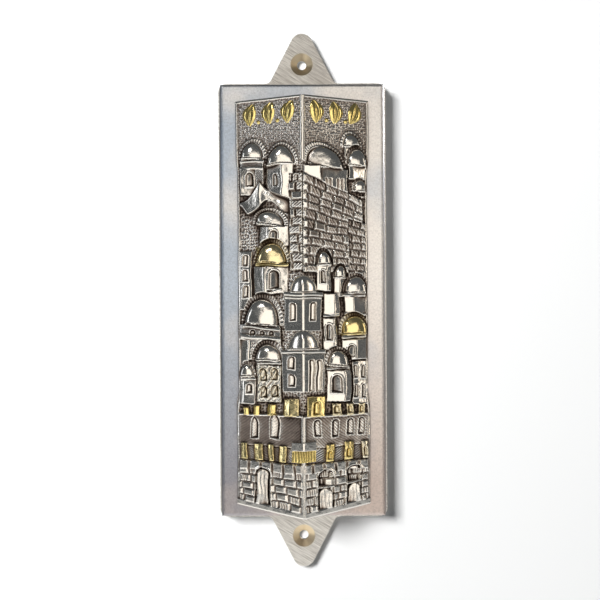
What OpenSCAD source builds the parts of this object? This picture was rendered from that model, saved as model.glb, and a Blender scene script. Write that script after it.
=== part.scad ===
// Mezuzah case: a flat back plate with two screw ears, a drafted front frame,
// and a gable of two chased sheets that show an old walled hill city.
// The scroll goes in from behind, past a door that slides up inside the case.
//
// Axes: +Z up, +X to the right seen from the front, the front faces -Y.
// The wall plane is Y = 0 and the origin is half way between the wall screws.
// Every size is in millimetres.

/* [Back plate] */
// Height from ear tip to ear tip
case_h = 150; // [120:1:180]
// Width of the plate
plate_w = 47; // [40:0.5:56]
// Height of the plate without its ears
plate_h = 121.8; // [100:0.1:140]
// Thickness of the plate and its ears
plate_t = 2; // [1.2:0.1:3]
// Radius of the plate's corners
plate_corner_r = 2.2; // [0.5:0.1:6]
// Radius of the rounded ear tips
ear_tip_r = 3.1; // [1:0.1:6]
// Lean of each ear's edge from the vertical, in degrees
ear_lean = 27.4; // [15:0.1:40]
// Radius of the hollow curve where an ear meets the plate
ear_root_r = 2; // [0.5:0.1:6]

/* [Wall screws] */
// Distance between the two screw holes
screw_spacing = 132.7; // [110:0.1:160]
// Diameter of the screw holes
screw_hole_d = 2.6; // [2:0.1:4]
// Diameter of the countersinks on the front
sink_d = 6.3; // [4:0.1:9]
// Depth of the countersinks
sink_depth = 1.15; // [0.5:0.05:1.8]

/* [Front frame] */
// Width across the frame's front edge
frame_w = 45.2; // [38:0.1:54]
// Height across the frame's front edge
frame_h = 119.4; // [98:0.1:138]
// Depth of the frame, from the plate to its front face
frame_d = 5; // [3:0.1:9]
// How far the sides lean out towards the plate
frame_draft = 0.6; // [0:0.1:1.5]
// Radius of the rounded front edge
frame_edge_r = 0.9; // [0.2:0.1:2]
// Radius of the frame's corners
frame_corner_r = 1.8; // [0.5:0.1:5]
// Width of the frame's opening
opening_w = 34.8; // [24:0.1:40]
// Top edge of the opening
opening_top = 54; // [40:0.1:58]
// Bottom edge of the opening
opening_bottom = -55; // [-58:0.1:-40]

/* [Relief] */
// Width of the gable where it meets the frame
relief_w = 37; // [28:0.1:42]
// Top edge of the relief
relief_top = 54.5; // [40:0.1:58]
// Bottom edge of the relief at its sides
relief_bottom = -55.8; // [-58:0.1:-40]
// How much lower the bottom edge is at the ridge
ridge_drop = 2.4; // [0:0.1:5]
// Height of the relief's side walls in front of the frame
side_wall = 1.2; // [0.6:0.1:3]
// Rise of the ridge over the side walls
gable_rise = 9.3; // [5:0.1:14]
// Thickness of the two sheets
sheet_t = 1.3; // [0.8:0.1:2]
// Relief of the houses over the sheet
house_p = 1; // [0.4:0.1:2]
// Relief of the walls over the sheet
wall_p = 0.55; // [0.2:0.05:1.5]

/* [Scroll door] */
// Width of the window in the back plate
window_w = 12; // [8:0.1:16]
// Top edge of the window
window_top = 52.6; // [40:0.1:54]
// Bottom edge of the window
window_bottom = -52.2; // [-54:0.1:-40]
// Width of the door
door_w = 17; // [13:0.1:22]
// Thickness of the door
door_t = 1; // [0.6:0.1:1.5]
// Free play on each side of the door
door_gap = 0.3; // [0.2:0.05:0.5]
// Bottom edge of the closed door
door_bottom = -53; // [-54.5:0.1:-45]
// Top edge of the closed door
door_top = 58.6; // [54:0.1:60]

/* [Scroll] */
// Height of the rolled parchment
scroll_h = 100; // [60:1:104]
// Diameter of the rolled parchment
scroll_d = 8.8; // [6:0.1:10]
// Diameter of the hole down the middle of the roll
scroll_bore = 2.2; // [1:0.1:4]
// Distance of the roll's axis from the wall
scroll_y = 8.8; // [7:0.1:10]
// Thickness of the wrapper
wrap_t = 0.3; // [0.2:0.05:0.6]
// How much of the roll the wrapper leaves bare at each end
wrap_short = 8; // [2:0.5:20]

/* [Case screws] */
// Distance of the case screws above and below the middle
case_screw_z = 57; // [56:0.1:57.5]
// Radius of the shanks
case_screw_r = 0.8; // [0.5:0.05:1]
// Radius of the countersunk heads
case_head_r = 1.6; // [1.2:0.05:1.9]
// Depth of the heads
case_head_depth = 0.8; // [0.5:0.05:1.2]
// Length over all
case_screw_len = 5.4; // [4:0.1:6]
// Width and depth of the driver's slot
driver_slot = 0.4; // [0.3:0.05:0.5]

/* [Hidden] */

silver = [0.78, 0.77, 0.74];
dark_silver = [0.52, 0.50, 0.47];
gilt = [0.80, 0.64, 0.30];
steel = [0.62, 0.63, 0.65];
skin = [0.87, 0.80, 0.64];
paper = [0.93, 0.92, 0.88];

face_y = plate_t + frame_d;                 // distance of the frame's front face
half_w = relief_w / 2;
slope = atan(gable_rise / half_w);          // lean of each sheet
ridge_y = face_y + side_wall + gable_rise;  // distance of the ridge
sheet_y = sheet_t / cos(slope);             // a sheet's thickness measured along Y
seat = 0.5;                                 // how deep raised work is let into its sheet
bite = 0.65;                                // how deep it is drawn, before it is trimmed to the seat
skim = 0.05;                                // overrun of every cut
reach = 6;                                  // more than any relief stands off its sheet
play = 0.05;                                // gap around a seated screw, and round the roll in its wrapper
smooth = 48;                                // sides drawn on a round
dome_sink = 0.42;                           // share of a dome's radius that is let into its sheet
true_r = 1 / cos(asin(dome_sink));          // a dome's radius against its half width on the sheet
end_t = 1;                                  // thickness of the two end plates
end_reach = 53.9;                           // distance of their outer faces from the middle
scroll_foot = -51.9;                        // bottom of the roll, on the lower end plate
end_back = 4.7;                             // how near to the wall they come
end_gap = 0.2;                              // room left between them and the sheets
rail_end = 52;                              // lower end of the rails, and about their upper end too
rail_w = 1.5;                               // width of a rail on the plate
rail_lip = [0.9, 0.8];                      // how far its lip reaches over the door, and the lip's thickness
stop_size = [8, 1.6, 1.3];                  // the block that the closed door stands on
groove = [8, 0.35, 0.9];                    // one thumb groove: width, depth and height
groove_step = 1.8;                          // distance between the thumb grooves
groove_foot = 7;                            // height of the lowest one over the door's bottom edge

// Front surface of the sheets, as a Y value
function ys(x) = -ridge_y + gable_rise * abs(x) / half_w;
function arc(cx, cz, r, a0, a1, n = 6) =
    [for (i = [0:n]) let (a = a0 + (a1 - a0) * i / n) [cx + r * cos(a), cz + r * sin(a)]];
function flip(pts) = [for (i = [len(pts) - 1:-1:0]) [-pts[i][0], pts[i][1]]];
function down(pts) = [for (i = [len(pts) - 1:-1:0]) [pts[i][0], -pts[i][1]]];

// ---------- general shapes ----------
// A flat outline in X and Z, given thickness from front_y back to back_y
module upright(front_y, back_y) {
    translate([0, back_y, 0]) rotate([90, 0, 0])
        linear_extrude(height = back_y - front_y) children();
}

// A plan outline in X and Y, raised from z0 to z1
module raised(z0, z1) {
    translate([0, 0, z0]) linear_extrude(height = z1 - z0) children();
}

// A hole with a countersink that opens towards -Y at front_y
module sunk_hole(front_y, back_y, hole_r, head_r, head_depth) {
    translate([0, back_y + skim, 0]) rotate([90, 0, 0])
        cylinder(h = back_y - front_y + 2 * skim, r = hole_r, $fn = smooth);
    translate([0, front_y + head_depth, 0]) rotate([90, 0, 0])
        cylinder(h = head_depth, r1 = hole_r, r2 = head_r, $fn = smooth);
    translate([0, front_y, 0]) rotate([90, 0, 0])
        cylinder(h = skim, r = head_r, $fn = smooth);
}

// ---------- back plate ----------
function ear_tip() = arc(0, case_h / 2 - ear_tip_r, ear_tip_r, ear_lean, 90, 8);
function root_x() = (ear_tip_r + ear_root_r
    - (plate_h / 2 + ear_root_r - case_h / 2 + ear_tip_r) * sin(ear_lean)) / cos(ear_lean);
function ear_root() = arc(root_x(), plate_h / 2 + ear_root_r, ear_root_r, 270, 180 + ear_lean, 6);
function quarter() = concat(
    arc(plate_w / 2 - plate_corner_r, plate_h / 2 - plate_corner_r, plate_corner_r, 0, 90),
    ear_root(), ear_tip());
function right_side() = concat(down(quarter()), quarter());

module at_case_screws() {
    for (sx = [-1, 1], sz = [-1, 1])
        translate([sx * (frame_w + opening_w) / 4, 0, sz * case_screw_z]) children();
}

module back_plate() {
    color(silver) difference() {
        upright(-plate_t, 0) polygon(concat(right_side(), flip(right_side())));
        for (s = [-1, 1]) translate([0, 0, s * screw_spacing / 2])
            sunk_hole(-plate_t, 0, screw_hole_d / 2, sink_d / 2, sink_depth);
        translate([-window_w / 2, -plate_t - skim, window_bottom])
            cube([window_w, plate_t + 2 * skim, window_top - window_bottom]);
        at_case_screws() rotate([0, 0, 180])
            sunk_hole(0, plate_t, case_screw_r + play, case_head_r + play, case_head_depth + play);
    }
}

module case_screws() {
    color(steel) at_case_screws() rotate([90, 0, 0]) difference() {
        union() {
            cylinder(h = case_head_depth, r1 = case_head_r, r2 = case_screw_r, $fn = smooth);
            cylinder(h = case_screw_len, r = case_screw_r, $fn = smooth);
        }
        translate([-case_head_r, -driver_slot / 2, -skim])
            cube([2 * case_head_r, driver_slot, driver_slot + skim]);
    }
}

// ---------- front frame ----------
function rounded(w, h, r) = concat(
    arc(w / 2 - r, -h / 2 + r, r, 270, 360), arc(w / 2 - r, h / 2 - r, r, 0, 90),
    arc(-w / 2 + r, h / 2 - r, r, 90, 180), arc(-w / 2 + r, -h / 2 + r, r, 180, 270));
// Section through the frame's depth: drafted sides and a rounded front edge
function drafted(w) = let (q = arc(w / 2 - frame_edge_r, face_y - frame_edge_r, frame_edge_r, 0, 90, 5),
                           s = concat([[w / 2 + frame_draft, plate_t]], q))
    concat(s, flip(s));

module front_frame() {
    slit_w = door_w + 2 * door_gap;
    slit_d = door_t + 2 * door_gap;
    color(silver) difference() {
        intersection() {
            upright(-face_y, -plate_t)
                polygon(rounded(frame_w + 2 * frame_draft, frame_h + 2 * frame_draft, frame_corner_r));
            translate([0, 0, -frame_h]) mirror([0, 1, 0])
                linear_extrude(height = 2 * frame_h) polygon(drafted(frame_w));
            rotate([0, 90, 0]) linear_extrude(height = 2 * frame_w, center = true)
                polygon([for (q = drafted(frame_h)) -q]);
        }
        translate([-opening_w / 2, -face_y - skim, opening_bottom])
            cube([opening_w, frame_d + 2 * skim, opening_top - opening_bottom]);
        translate([-slit_w / 2, -plate_t - slit_d, opening_top - skim])
            cube([slit_w, slit_d + skim, frame_h]);
        at_case_screws() rotate([90, 0, 0])
            cylinder(h = case_screw_len + play, r = case_screw_r + play, $fn = smooth);
    }
}

// ---------- relief sheets ----------
// One sheet, drawn for the right-hand side
module sheet() {
    foot = half_w - sheet_t;
    raised(relief_bottom - ridge_drop, relief_top) polygon([
        [0, -ridge_y], [half_w, ys(half_w)], [half_w, -face_y], [foot, -face_y],
        [foot, ys(foot) + sheet_y], [0, -ridge_y + sheet_y]]);
}

// What lies below the slanted bottom edge, right-hand side
module below_edge() {
    translate([0, 0, relief_bottom - ridge_drop]) rotate([0, -atan(ridge_drop / half_w), 0])
        translate([-half_w, -2 * ridge_y, -2 * ridge_drop - reach])
            cube([3 * half_w, 3 * ridge_y, 2 * ridge_drop + reach]);
}

// Room in front of one sheet in which raised work may stand, right-hand side
module working_room() {
    raised(relief_bottom - ridge_drop, relief_top) polygon([
        [0, -ridge_y + seat], [0, -ridge_y - reach], [half_w, ys(half_w) - reach],
        [half_w, ys(half_w) + seat]]);
}

// Seats of the castings that straddle the ridge: half width, bottom and top
seats = [[5.35, -8.5, 1.6], [3.75, 1.5, 7.6], [6.05, -24.6, -13.1], [4.35, -13.2, -7.2], [3.7, -43.5, -37.5]];

// A block with its front parallel to the sheet
module block(x0, x1, z0, z1, p = house_p) {
    raised(z0, z1) polygon([[x0, ys(x0) + bite], [x1, ys(x1) + bite], [x1, ys(x1) - p], [x0, ys(x0) - p]]);
}

// A house seen on its corner at xc
module corner_house(x0, xc, x1, z0, z1, p = house_p) {
    raised(z0, z1) polygon([[x0, ys(x0) + bite], [x0, ys(x0) - p / 3], [xc, ys(xc) - p],
                            [x1, ys(x1) - p / 3], [x1, ys(x1) + bite]]);
}

// A dome on a low ring. Its axis stands a little behind the sheet's surface
function dome_line(r, h) = [for (i = [0:6]) let (a = 15 * i) [r * cos(a), h * sin(a)]];
module dome(x, z, r, h) {
    full = r * true_r;
    ring = [0.25, 0.7];
    translate([x, ys(x) + r * dome_sink, z]) rotate_extrude($fn = smooth)
        polygon(concat([[0, -ring[1]], [full + ring[0], -ring[1]], [full + ring[0], 0]], dome_line(full, h)));
}

// A drum under a dome, or a round tower
module drum(x, r, z0, z1) {
    translate([x, ys(x) + r * dome_sink, z0])
        cylinder(h = z1 - z0, r = r * true_r, $fn = smooth);
}

// Cut for a window with a round head
module arch_cut(x, z, w, h, p = house_p, depth = 0.45) {
    y0 = ys(x) - p - reach / 3;
    deep = reach / 3 + depth;
    translate([x - w / 2, y0, z]) cube([w, deep, h - w / 2]);
    translate([x, y0, z + h - w / 2]) rotate([-90, 0, 0]) cylinder(h = deep, r = w / 2, $fn = smooth);
}

// A pointed leaf and a round bead, for the border at the top
module leaf(x, z, w, h) {
    r = (w * w + h * h) / (4 * w);
    back = bite + 0.6;
    intersection_for (side = [-1, 1])
        translate([x + side * (w / 2 - r), ys(x) + back, z + h / 2]) rotate([90, 0, 0])
            cylinder(h = back + house_p, r = r, $fn = smooth);
}

module leaves(side) {
    for (i = [0:2]) leaf(side * (3.6 + 5.2 * i), 47.2, 3.4, 6.6);
    for (i = [0:1]) translate([side * (6.2 + 5.2 * i), ys(6.2 + 5.2 * i) + bite, 48.4])
        rotate([90, 0, 0]) cylinder(h = bite + house_p, r = 0.6, $fn = smooth);
}

// Battlements: each entry is a middle and a width
module merlons(list, z0, z1, p) {
    for (m = list) block(m[0] - m[1] / 2, m[0] + m[1] / 2, z0, z1, p);
}

// Stone courses of the fortress base
module courses(x0, x1, side) {
    course = 1.4;
    joint = 0.3;
    for (i = [0:7]) let (z = relief_bottom + course * i)
        block(side * x0, side * x1, z + joint, z + course, 0.95);
}

module sheet_with_city(side) {
    difference() {
        union() {
            if (side > 0) sheet(); else mirror([1, 0, 0]) sheet();
            intersection() {
                children(0);
                difference() {
                    if (side > 0) working_room(); else mirror([1, 0, 0]) working_room();
                    for (s = seats) translate([-s[0], -2 * ridge_y, s[1]])
                        cube([2 * s[0], 2 * ridge_y, s[2] - s[1]]);
                }
            }
        }
        if (side > 0) below_edge(); else mirror([1, 0, 0]) below_edge();
        children(1);
    }
}

module left_city() {
    leaves(-1);
    // small dome on a drum
    dome(-13.6, 38.9, 3.1, 4.2);
    block(-16.9, -10.4, 35.9, 38.2, house_p + 0.2);
    block(-16.6, -10.7, 28.6, 36, house_p);
    // dome on a corner house
    dome(-5.6, 36.6, 3.5, 4.6);
    corner_house(-9.4, -5.5, -2.6, 27, 36, house_p + 0.3);
    // sweeping roof
    corner_house(-16.6, -11.8, -9.2, 25, 28.4, house_p);
    corner_house(-13.6, -11.8, -10.2, 28.3, 31.6, house_p);
    block(-17, -3.8, 23.2, 25.1, house_p + 0.2);
    dome(-8, 20.6, 3.3, 3);
    corner_house(-11.4, -9.5, -3.9, 14.9, 20.1, house_p);
    // gilt dome
    dome(-8.2, 10.4, 3.9, 5.3);
    corner_house(-13, -10.4, -4.1, 2, 9.9, house_p + 0.2);
    block(-17.4, -13.6, -3, 13.4, wall_p);
    // great dome
    dome(-10.9, -6.2, 4.3, 6.4);
    block(-17.6, -6.3, -8.8, -6.7, house_p + 0.3);
    block(-16.6, -6.6, -15.7, -8.7, house_p);
    dome(-9.2, -15.8, 3, 3.8);
    block(-12.5, -6.3, -27.1, -16.4, house_p);
    dome(-15.4, -20.6, 1.7, 3.2);
    block(-17.5, -13.2, -27.7, -21.2, house_p - 0.2);
    // upper wall and its battlements
    block(-18.2, 0, -39.2, -31, wall_p);
    merlons([[-15.3, 1.7], [-12.1, 2], [-8, 2.2]], -31.2, -27.8, wall_p + 0.3);
    merlons([[-3.4, 3.4]], -31.2, -25.8, wall_p + 0.3);
    // lower wall, battlements and base
    merlons([[-15.6, 2], [-11, 2.7], [-6.4, 2.7]], -43.4, -38.4, wall_p + 0.4);
    courses(0, 18.3, -1);
    // keep, left of the ridge
    block(-3.3, 0, 8.4, 33.6, house_p);
}

module left_windows() {
    arch_cut(-14.6, 30.6, 1.6, 3.4);
    arch_cut(-7.3, 30.8, 1.3, 3.2, house_p);
    arch_cut(-8.1, 16, 1.8, 3, house_p);
    arch_cut(-7.8, 3.4, 2.4, 4.8, house_p);
    for (z = [9.6, 5.4, 1.2]) arch_cut(-15.6, z, 1, 2.6, wall_p);
    for (x = [-14.4, -11.4, -8.6]) arch_cut(x, -13.6, 1.2, 3.2);
    arch_cut(-10.8, -22.4, 1.3, 3.4);
    arch_cut(-8.2, -22.4, 1.3, 3.4);
    arch_cut(-15.4, -25.4, 1.3, 2.6, house_p - 0.2);
    arch_cut(-13.1, -37, 1.9, 4.6, wall_p);
    arch_cut(-7.9, -36.4, 1.9, 5, wall_p);
    // city gate
    arch_cut(-11, -54.4, 4.2, 9.2, 0.95, 0.8);
}

module left_relief() {
    color(dark_silver) sheet_with_city(-1) { left_city(); left_windows(); }
}

module right_city() {
    leaves(1);
    // wide dome behind the keep
    dome(6, 35.6, 4.2, 5);
    block(0.2, 11.6, 31.6, 35.2, house_p);
    dome(13.1, 41.8, 2.1, 3.4);
    block(10.8, 15.4, 39.6, 41.4, house_p - 0.2);
    dome(14.7, 37.4, 2.5, 3.6);
    block(12, 17.3, 33, 36.9, house_p - 0.1);
    dome(15.5, 30.8, 1.6, 2.4);
    block(14.6, 17.8, 16, 30.2, wall_p);
    // keep of dressed stone, its courses stepping down to the right
    for (i = [0:9]) let (top = 33.6 - 2.6 * i, shift = (i % 2) * 1.2)
        for (j = [0:4]) block(0.1 + max(0, 2.9 * j - shift), 0.1 + 2.9 * (j + 1) - shift - 0.35,
                              top - 2.3 - 0.35 * j, top - 0.35 * j, house_p + 0.15);
    dome(5.5, 10.2, 1.5, 2.8);
    block(3.8, 7.3, 3, 9.8, house_p);
    dome(9.8, 6.8, 1.3, 2.6);
    block(8.1, 11.3, 3, 6.4, house_p);
    block(5.5, 9.9, -4.4, 2, house_p);
    block(5.6, 9.8, -12.4, -4.8, house_p);
    dome(14.3, 2.2, 2.8, 4.2);
    drum(14.3, 2.8, -4.2, 1.7);
    // gilt dome
    dome(13.9, -8.8, 3.3, 4.2);
    block(10.1, 18.1, -11, -9.6, house_p + 0.2);
    block(10.4, 17.8, -15.7, -11, house_p);
    dome(9.3, -17, 2.5, 3.3);
    block(6.4, 12.8, -25.4, -18, house_p);
    block(13.4, 17.8, -27.9, -15.8, wall_p);
    // upper wall and its battlements
    block(0, 18.2, -39.2, -31, wall_p);
    merlons([[3.5, 4.8]], -31.2, -25.4, wall_p + 0.3);
    merlons([[8.6, 2.4], [12.7, 2.2], [16.4, 2]], -31.2, -27.4, wall_p + 0.3);
    // lower wall, battlements and base
    merlons([[7.1, 2.3], [12, 2.6], [16.9, 2.7]], -43.4, -38.4, wall_p + 0.4);
    courses(0, 18.3, 1);
}

module right_windows() {
    for (x = [6.9, 9.3]) arch_cut(x, 32.2, 1, 2.4);
    arch_cut(5.6, 4.4, 1.4, 3.8);
    arch_cut(9.7, 3.6, 1, 2.2);
    arch_cut(7.7, -10.4, 1.6, 4);
    arch_cut(9.4, -23.6, 2.2, 4.6);
    for (x = [11.9, 14.1, 16.3]) arch_cut(x, -15, 1, 2.8);
    for (z = [-20.4, -25.6]) arch_cut(15.6, z, 1.1, 3, wall_p);
    for (x = [3.6, 8.1, 12.3, 15.9]) arch_cut(x, -36.2, 1.7, 4.4, wall_p);
    // two gates
    arch_cut(5.7, -54.8, 3.6, 8.4, 0.95, 0.8);
    arch_cut(13.7, -54, 3.4, 8.4, 0.95, 0.8);
}

module right_relief() {
    color(dark_silver) sheet_with_city(1) { right_city(); right_windows(); }
}

// ---------- castings on the ridge ----------
// Everything behind the two sheets' front surfaces
module behind_sheets() {
    raised(-case_h / 2, case_h / 2) polygon([[0, -ridge_y], [half_w, ys(half_w)], [half_w, 0],
                                            [-half_w, 0], [-half_w, ys(half_w)]]);
}

// A body that wraps round the ridge
module ridge_block(w, z0, z1, p) {
    raised(z0, z1) polygon([[0, -ridge_y], [w, ys(w)], [w, ys(w) - p], [0, -ridge_y - p],
                            [-w, ys(w) - p], [-w, ys(w)]]);
}

module ridge_dome(z, r, h) {
    sink = 1.2;
    translate([0, -ridge_y + sink, z]) rotate_extrude($fn = smooth)
        polygon(concat([[0, 0]], dome_line(r, h)));
    translate([0, -ridge_y + sink, z + h]) sphere(r = 0.5, $fn = smooth);
}

module upper_tower() {
    color(silver) difference() {
        union() {
            ridge_dome(2, 3.5, 4.6);
            ridge_block(5.2, 1, 1.6, 1.7);
            ridge_block(4.9, -8.2, 1, 1.4);
            translate([0, -ridge_y + 1.2, 1.5]) cylinder(h = 0.5, r = 3.6, $fn = smooth);
        }
        behind_sheets();
        for (s = [-1, 1]) arch_cut(s * 2.7, -6, 1.7, 5, 1.4, 0.5);
    }
}

module lower_tower() {
    color(silver) difference() {
        union() {
            ridge_dome(-12.7, 4, 4.6);
            translate([0, -ridge_y + 1.2, -13.2]) cylinder(h = 0.5, r = 4.1, $fn = smooth);
            ridge_block(5.9, -14.4, -13.1, 1.8);
            ridge_block(5.5, -24.4, -14.4, 1.5);
        }
        behind_sheets();
        for (z = [-18.4, -22.8]) arch_cut(-3.2, z, 1.8, 3, 1.5, 0.5);
        for (x = [2, 4]) arch_cut(x, -23.2, 1.2, 7, 1.5, 0.5);
    }
}

module corner_turret() {
    color(gilt) difference() {
        union() {
            ridge_block(3.5, -39.6, -37.7, 1.6);
            ridge_block(3.2, -43.3, -39.6, 1.2);
        }
        behind_sheets();
        for (s = [-1, 1]) arch_cut(s * 1.6, -42.6, 1, 2.2, 1.2, 0.4);
    }
}

module ridge_bead() {
    color(silver) difference() {
        translate([0, -ridge_y + 0.2, 37.2]) cylinder(h = relief_top - 37.2, r = 0.8, $fn = smooth);
        behind_sheets();
    }
}

// ---------- inside ----------
// A flat gable that closes one end of the scroll's room
module end_plate(z0) {
    foot = opening_w / 2 - 0.3;
    shoulder = ys(foot) + sheet_y + end_gap;
    color(steel) raised(z0, z0 + end_t) polygon([
        [-foot, -end_back], [-foot, shoulder], [0, ys(0) + sheet_y + end_gap],
        [foot, shoulder], [foot, -end_back]]);
}
module top_end_plate() { end_plate(end_reach - end_t); }
module base_end_plate() { end_plate(scroll_foot - end_t); }

// Guides of the door, soldered to the plate's front
module rail(side) {
    inner = door_w / 2 + door_gap;
    outer = inner + rail_w;
    tip = inner - rail_lip[0];
    lip_y = -plate_t - 2 * door_gap - door_t;
    color(steel) mirror([side > 0 ? 0 : 1, 0, 0]) raised(-rail_end, rail_end + 1) polygon([
        [inner, -plate_t], [outer, -plate_t], [outer, lip_y - rail_lip[1]], [tip, lip_y - rail_lip[1]],
        [tip, lip_y], [inner, lip_y]]);
}
module left_rail() { rail(-1); }
module right_rail() { rail(1); }

// The block under the closed door, with the door's own play above it
module door_stop() {
    color(steel) translate([-stop_size[0] / 2, -plate_t - stop_size[1], door_bottom - door_gap - stop_size[2]])
        cube(stop_size);
}

// The door, with thumb grooves in its back
module scroll_door() {
    y0 = -plate_t - door_gap - door_t;
    color(silver) difference() {
        translate([-door_w / 2, y0, door_bottom]) cube([door_w, door_t, door_top - door_bottom]);
        for (i = [0:4])
            translate([-groove[0] / 2, y0 + door_t - groove[1], door_bottom + groove_foot + groove_step * i])
                cube([groove[0], groove[1] + skim, groove[2]]);
    }
}

// A tube that stands on foot, for the roll and for its wrapper
module tube(foot, tall, outer_r, bore_r) {
    translate([0, -scroll_y, foot]) difference() {
        cylinder(h = tall, r = outer_r, $fn = smooth);
        translate([0, 0, -skim]) cylinder(h = tall + 2 * skim, r = bore_r, $fn = smooth);
    }
}

module parchment_scroll() {
    color(skin) tube(scroll_foot, scroll_h, scroll_d / 2, scroll_bore / 2);
}

module scroll_wrap() {
    inner = scroll_d / 2 + play;
    color(paper) tube(scroll_foot + wrap_short, scroll_h - 2 * wrap_short, inner + wrap_t, inner);
}

back_plate();
front_frame();
left_relief();
right_relief();
ridge_bead();
upper_tower();
lower_tower();
corner_turret();
top_end_plate();
base_end_plate();
left_rail();
right_rail();
door_stop();
scroll_door();
parchment_scroll();
scroll_wrap();
case_screws();
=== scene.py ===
# %% [markdown]
# # A mezuzah case in chased silver
# The case hangs on a doorpost and holds a small rolled parchment. Its front is a gable of two thin
# sheets, hammered and chased into a walled hill city, soldered on a satin frame. Behind the frame is
# a flat plate with two ears for the wall screws. This lesson takes the exact metalwork of the case as
# a fixed frame, and adds what a silversmith's hands add: the city, the patina and the gilding.

# %% [markdown]
# ## The exact case
# The plate, the frame, the rails, the door and the screws were turned, sawn and filed to size, so their
# shapes come exact from the frame that is loaded here. Everything that is hammered, cast or gilt takes
# the place of a plain stand-in of the same name.

# %% Load the frame
import bpy
import math
import numpy as np
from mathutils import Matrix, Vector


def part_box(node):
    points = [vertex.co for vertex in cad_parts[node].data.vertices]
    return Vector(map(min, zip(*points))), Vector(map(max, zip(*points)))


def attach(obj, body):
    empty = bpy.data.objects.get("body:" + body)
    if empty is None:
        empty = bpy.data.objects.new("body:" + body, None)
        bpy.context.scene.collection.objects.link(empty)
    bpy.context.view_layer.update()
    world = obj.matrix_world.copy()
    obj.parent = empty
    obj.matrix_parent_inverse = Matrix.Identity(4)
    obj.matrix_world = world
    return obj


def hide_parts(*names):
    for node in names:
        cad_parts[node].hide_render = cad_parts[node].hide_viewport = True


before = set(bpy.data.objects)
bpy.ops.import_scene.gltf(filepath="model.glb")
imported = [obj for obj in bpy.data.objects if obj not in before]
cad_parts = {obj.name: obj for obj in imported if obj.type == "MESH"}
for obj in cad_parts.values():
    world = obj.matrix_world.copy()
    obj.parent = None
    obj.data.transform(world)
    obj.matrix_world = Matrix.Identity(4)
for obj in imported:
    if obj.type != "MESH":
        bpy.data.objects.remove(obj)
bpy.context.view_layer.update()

# %% [markdown]
# ## Sizes
# Everything here is written in millimetres, because that is how a silversmith measures, and turned
# into Blender's metres at the last moment. The places of the plate, the frame and the sheets are read
# from the frame's own parts, so nothing has to be fitted.

# %% Sizes
MM = 0.001


def corners_mm(node):
    low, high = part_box(node)
    return [v / MM for v in low], [v / MM for v in high]


frame_low, _ = corners_mm("front_frame")
sheet_low, sheet_high = corners_mm("right_relief")
FACE = -frame_low[1]            # distance of the frame's front face from the wall
HALF_W = sheet_high[0]          # half the gable's width
TOP = sheet_high[2]             # top edge of the sheets
POINT = sheet_low[2]            # lowest point of the sheets, at the ridge
RIDGE_DROP = 2.4                # how much lower the bottom edge is at the ridge
SIDE_WALL = 1.2                 # height of the sheets' side walls over the frame
RISE = 9.3                      # rise of the ridge over the side walls
RIDGE = FACE + SIDE_WALL + RISE
SHEET_BACK = 1.45               # thickness of a sheet, measured along Y
SOFT_RIDGE = 0.55               # radius of the rubbed ridge
print(f"face {FACE:.2f}, half width {HALF_W:.2f}, top {TOP:.2f}, point {POINT:.2f}, ridge {RIDGE:.2f} mm")

# %% [markdown]
# ## The camera
# The case is seen straight on from close by, so the ridge, which stands nearer, spreads a little
# against the frame. The lens is worked out from the distance and the width of the view, and the tiny
# roll is that of a case that isn't hung quite plumb.

# %% Camera
CAMERA_TO_FACE = 260            # from the lens to the frame's front face
VIEW_WIDTH = 165.8              # width of the picture at the frame's front face
SENSOR = 36
camera_data = bpy.data.cameras.new("camera")
camera_data.sensor_width = SENSOR
camera_data.lens = SENSOR * CAMERA_TO_FACE / VIEW_WIDTH
camera_data.clip_start = 0.01
camera = bpy.data.objects.new("camera", camera_data)
camera.location = (-0.8 * MM, -(FACE + CAMERA_TO_FACE) * MM, 0)
camera.rotation_euler = (math.radians(90), math.radians(0.3), 0)
bpy.context.scene.collection.objects.link(camera)
bpy.context.scene.camera = camera
bpy.context.scene.view_settings.view_transform = "Standard"
print(f"lens {camera_data.lens:.1f} mm")


# %% [markdown]
# ## Colours and nodes
# Colours are noted as hex codes, the way a colour chart gives them, and turned into linear light in
# one place. One small function adds a node with its settings and its links, so every material below
# reads like a list of steps.

# %% Colour and node helpers
def linear(hex_colour):
    parts = [int(hex_colour[i:i + 2], 16) / 255 for i in (1, 3, 5)]
    return tuple(v / 12.92 if v <= 0.04045 else ((v + 0.055) / 1.055) ** 2.4 for v in parts) + (1,)


def add(tree, kind, values=None, links=None, **settings):
    node = tree.nodes.new(kind)
    for name, value in settings.items():
        setattr(node, name, value)
    for socket, value in (values or {}).items():
        node.inputs[socket].default_value = value
    for socket, source in (links or {}).items():
        tree.links.new(source, node.inputs[socket])
    return node


print("silver in linear light:", [round(v, 3) for v in linear("#E4DFD6")[:3]])

# %% [markdown]
# ## The lights
# Polished metal shows what stands around it. A large soft card in front makes every face that looks
# forward bright, and the two slopes of the gable mirror the dim room at the sides. Two upright strips
# far out and a small light from the upper left only reach the rough ground and the cuts. The key light
# does the opposite: the metal doesn't mirror it, and it throws the soft shadow on the wall.

# %% Lights
def area_light(name, place, size, power, colour):
    data = bpy.data.lights.new(name, "AREA")
    data.shape = "RECTANGLE"
    data.size, data.size_y = size
    data.energy = power
    data.color = linear(colour)[:3]
    light = bpy.data.objects.new(name, data)
    light.location = place
    away = light.location.copy()
    light.rotation_euler = away.to_track_quat("Z", "Y").to_euler()
    bpy.context.scene.collection.objects.link(light)
    return light


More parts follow.
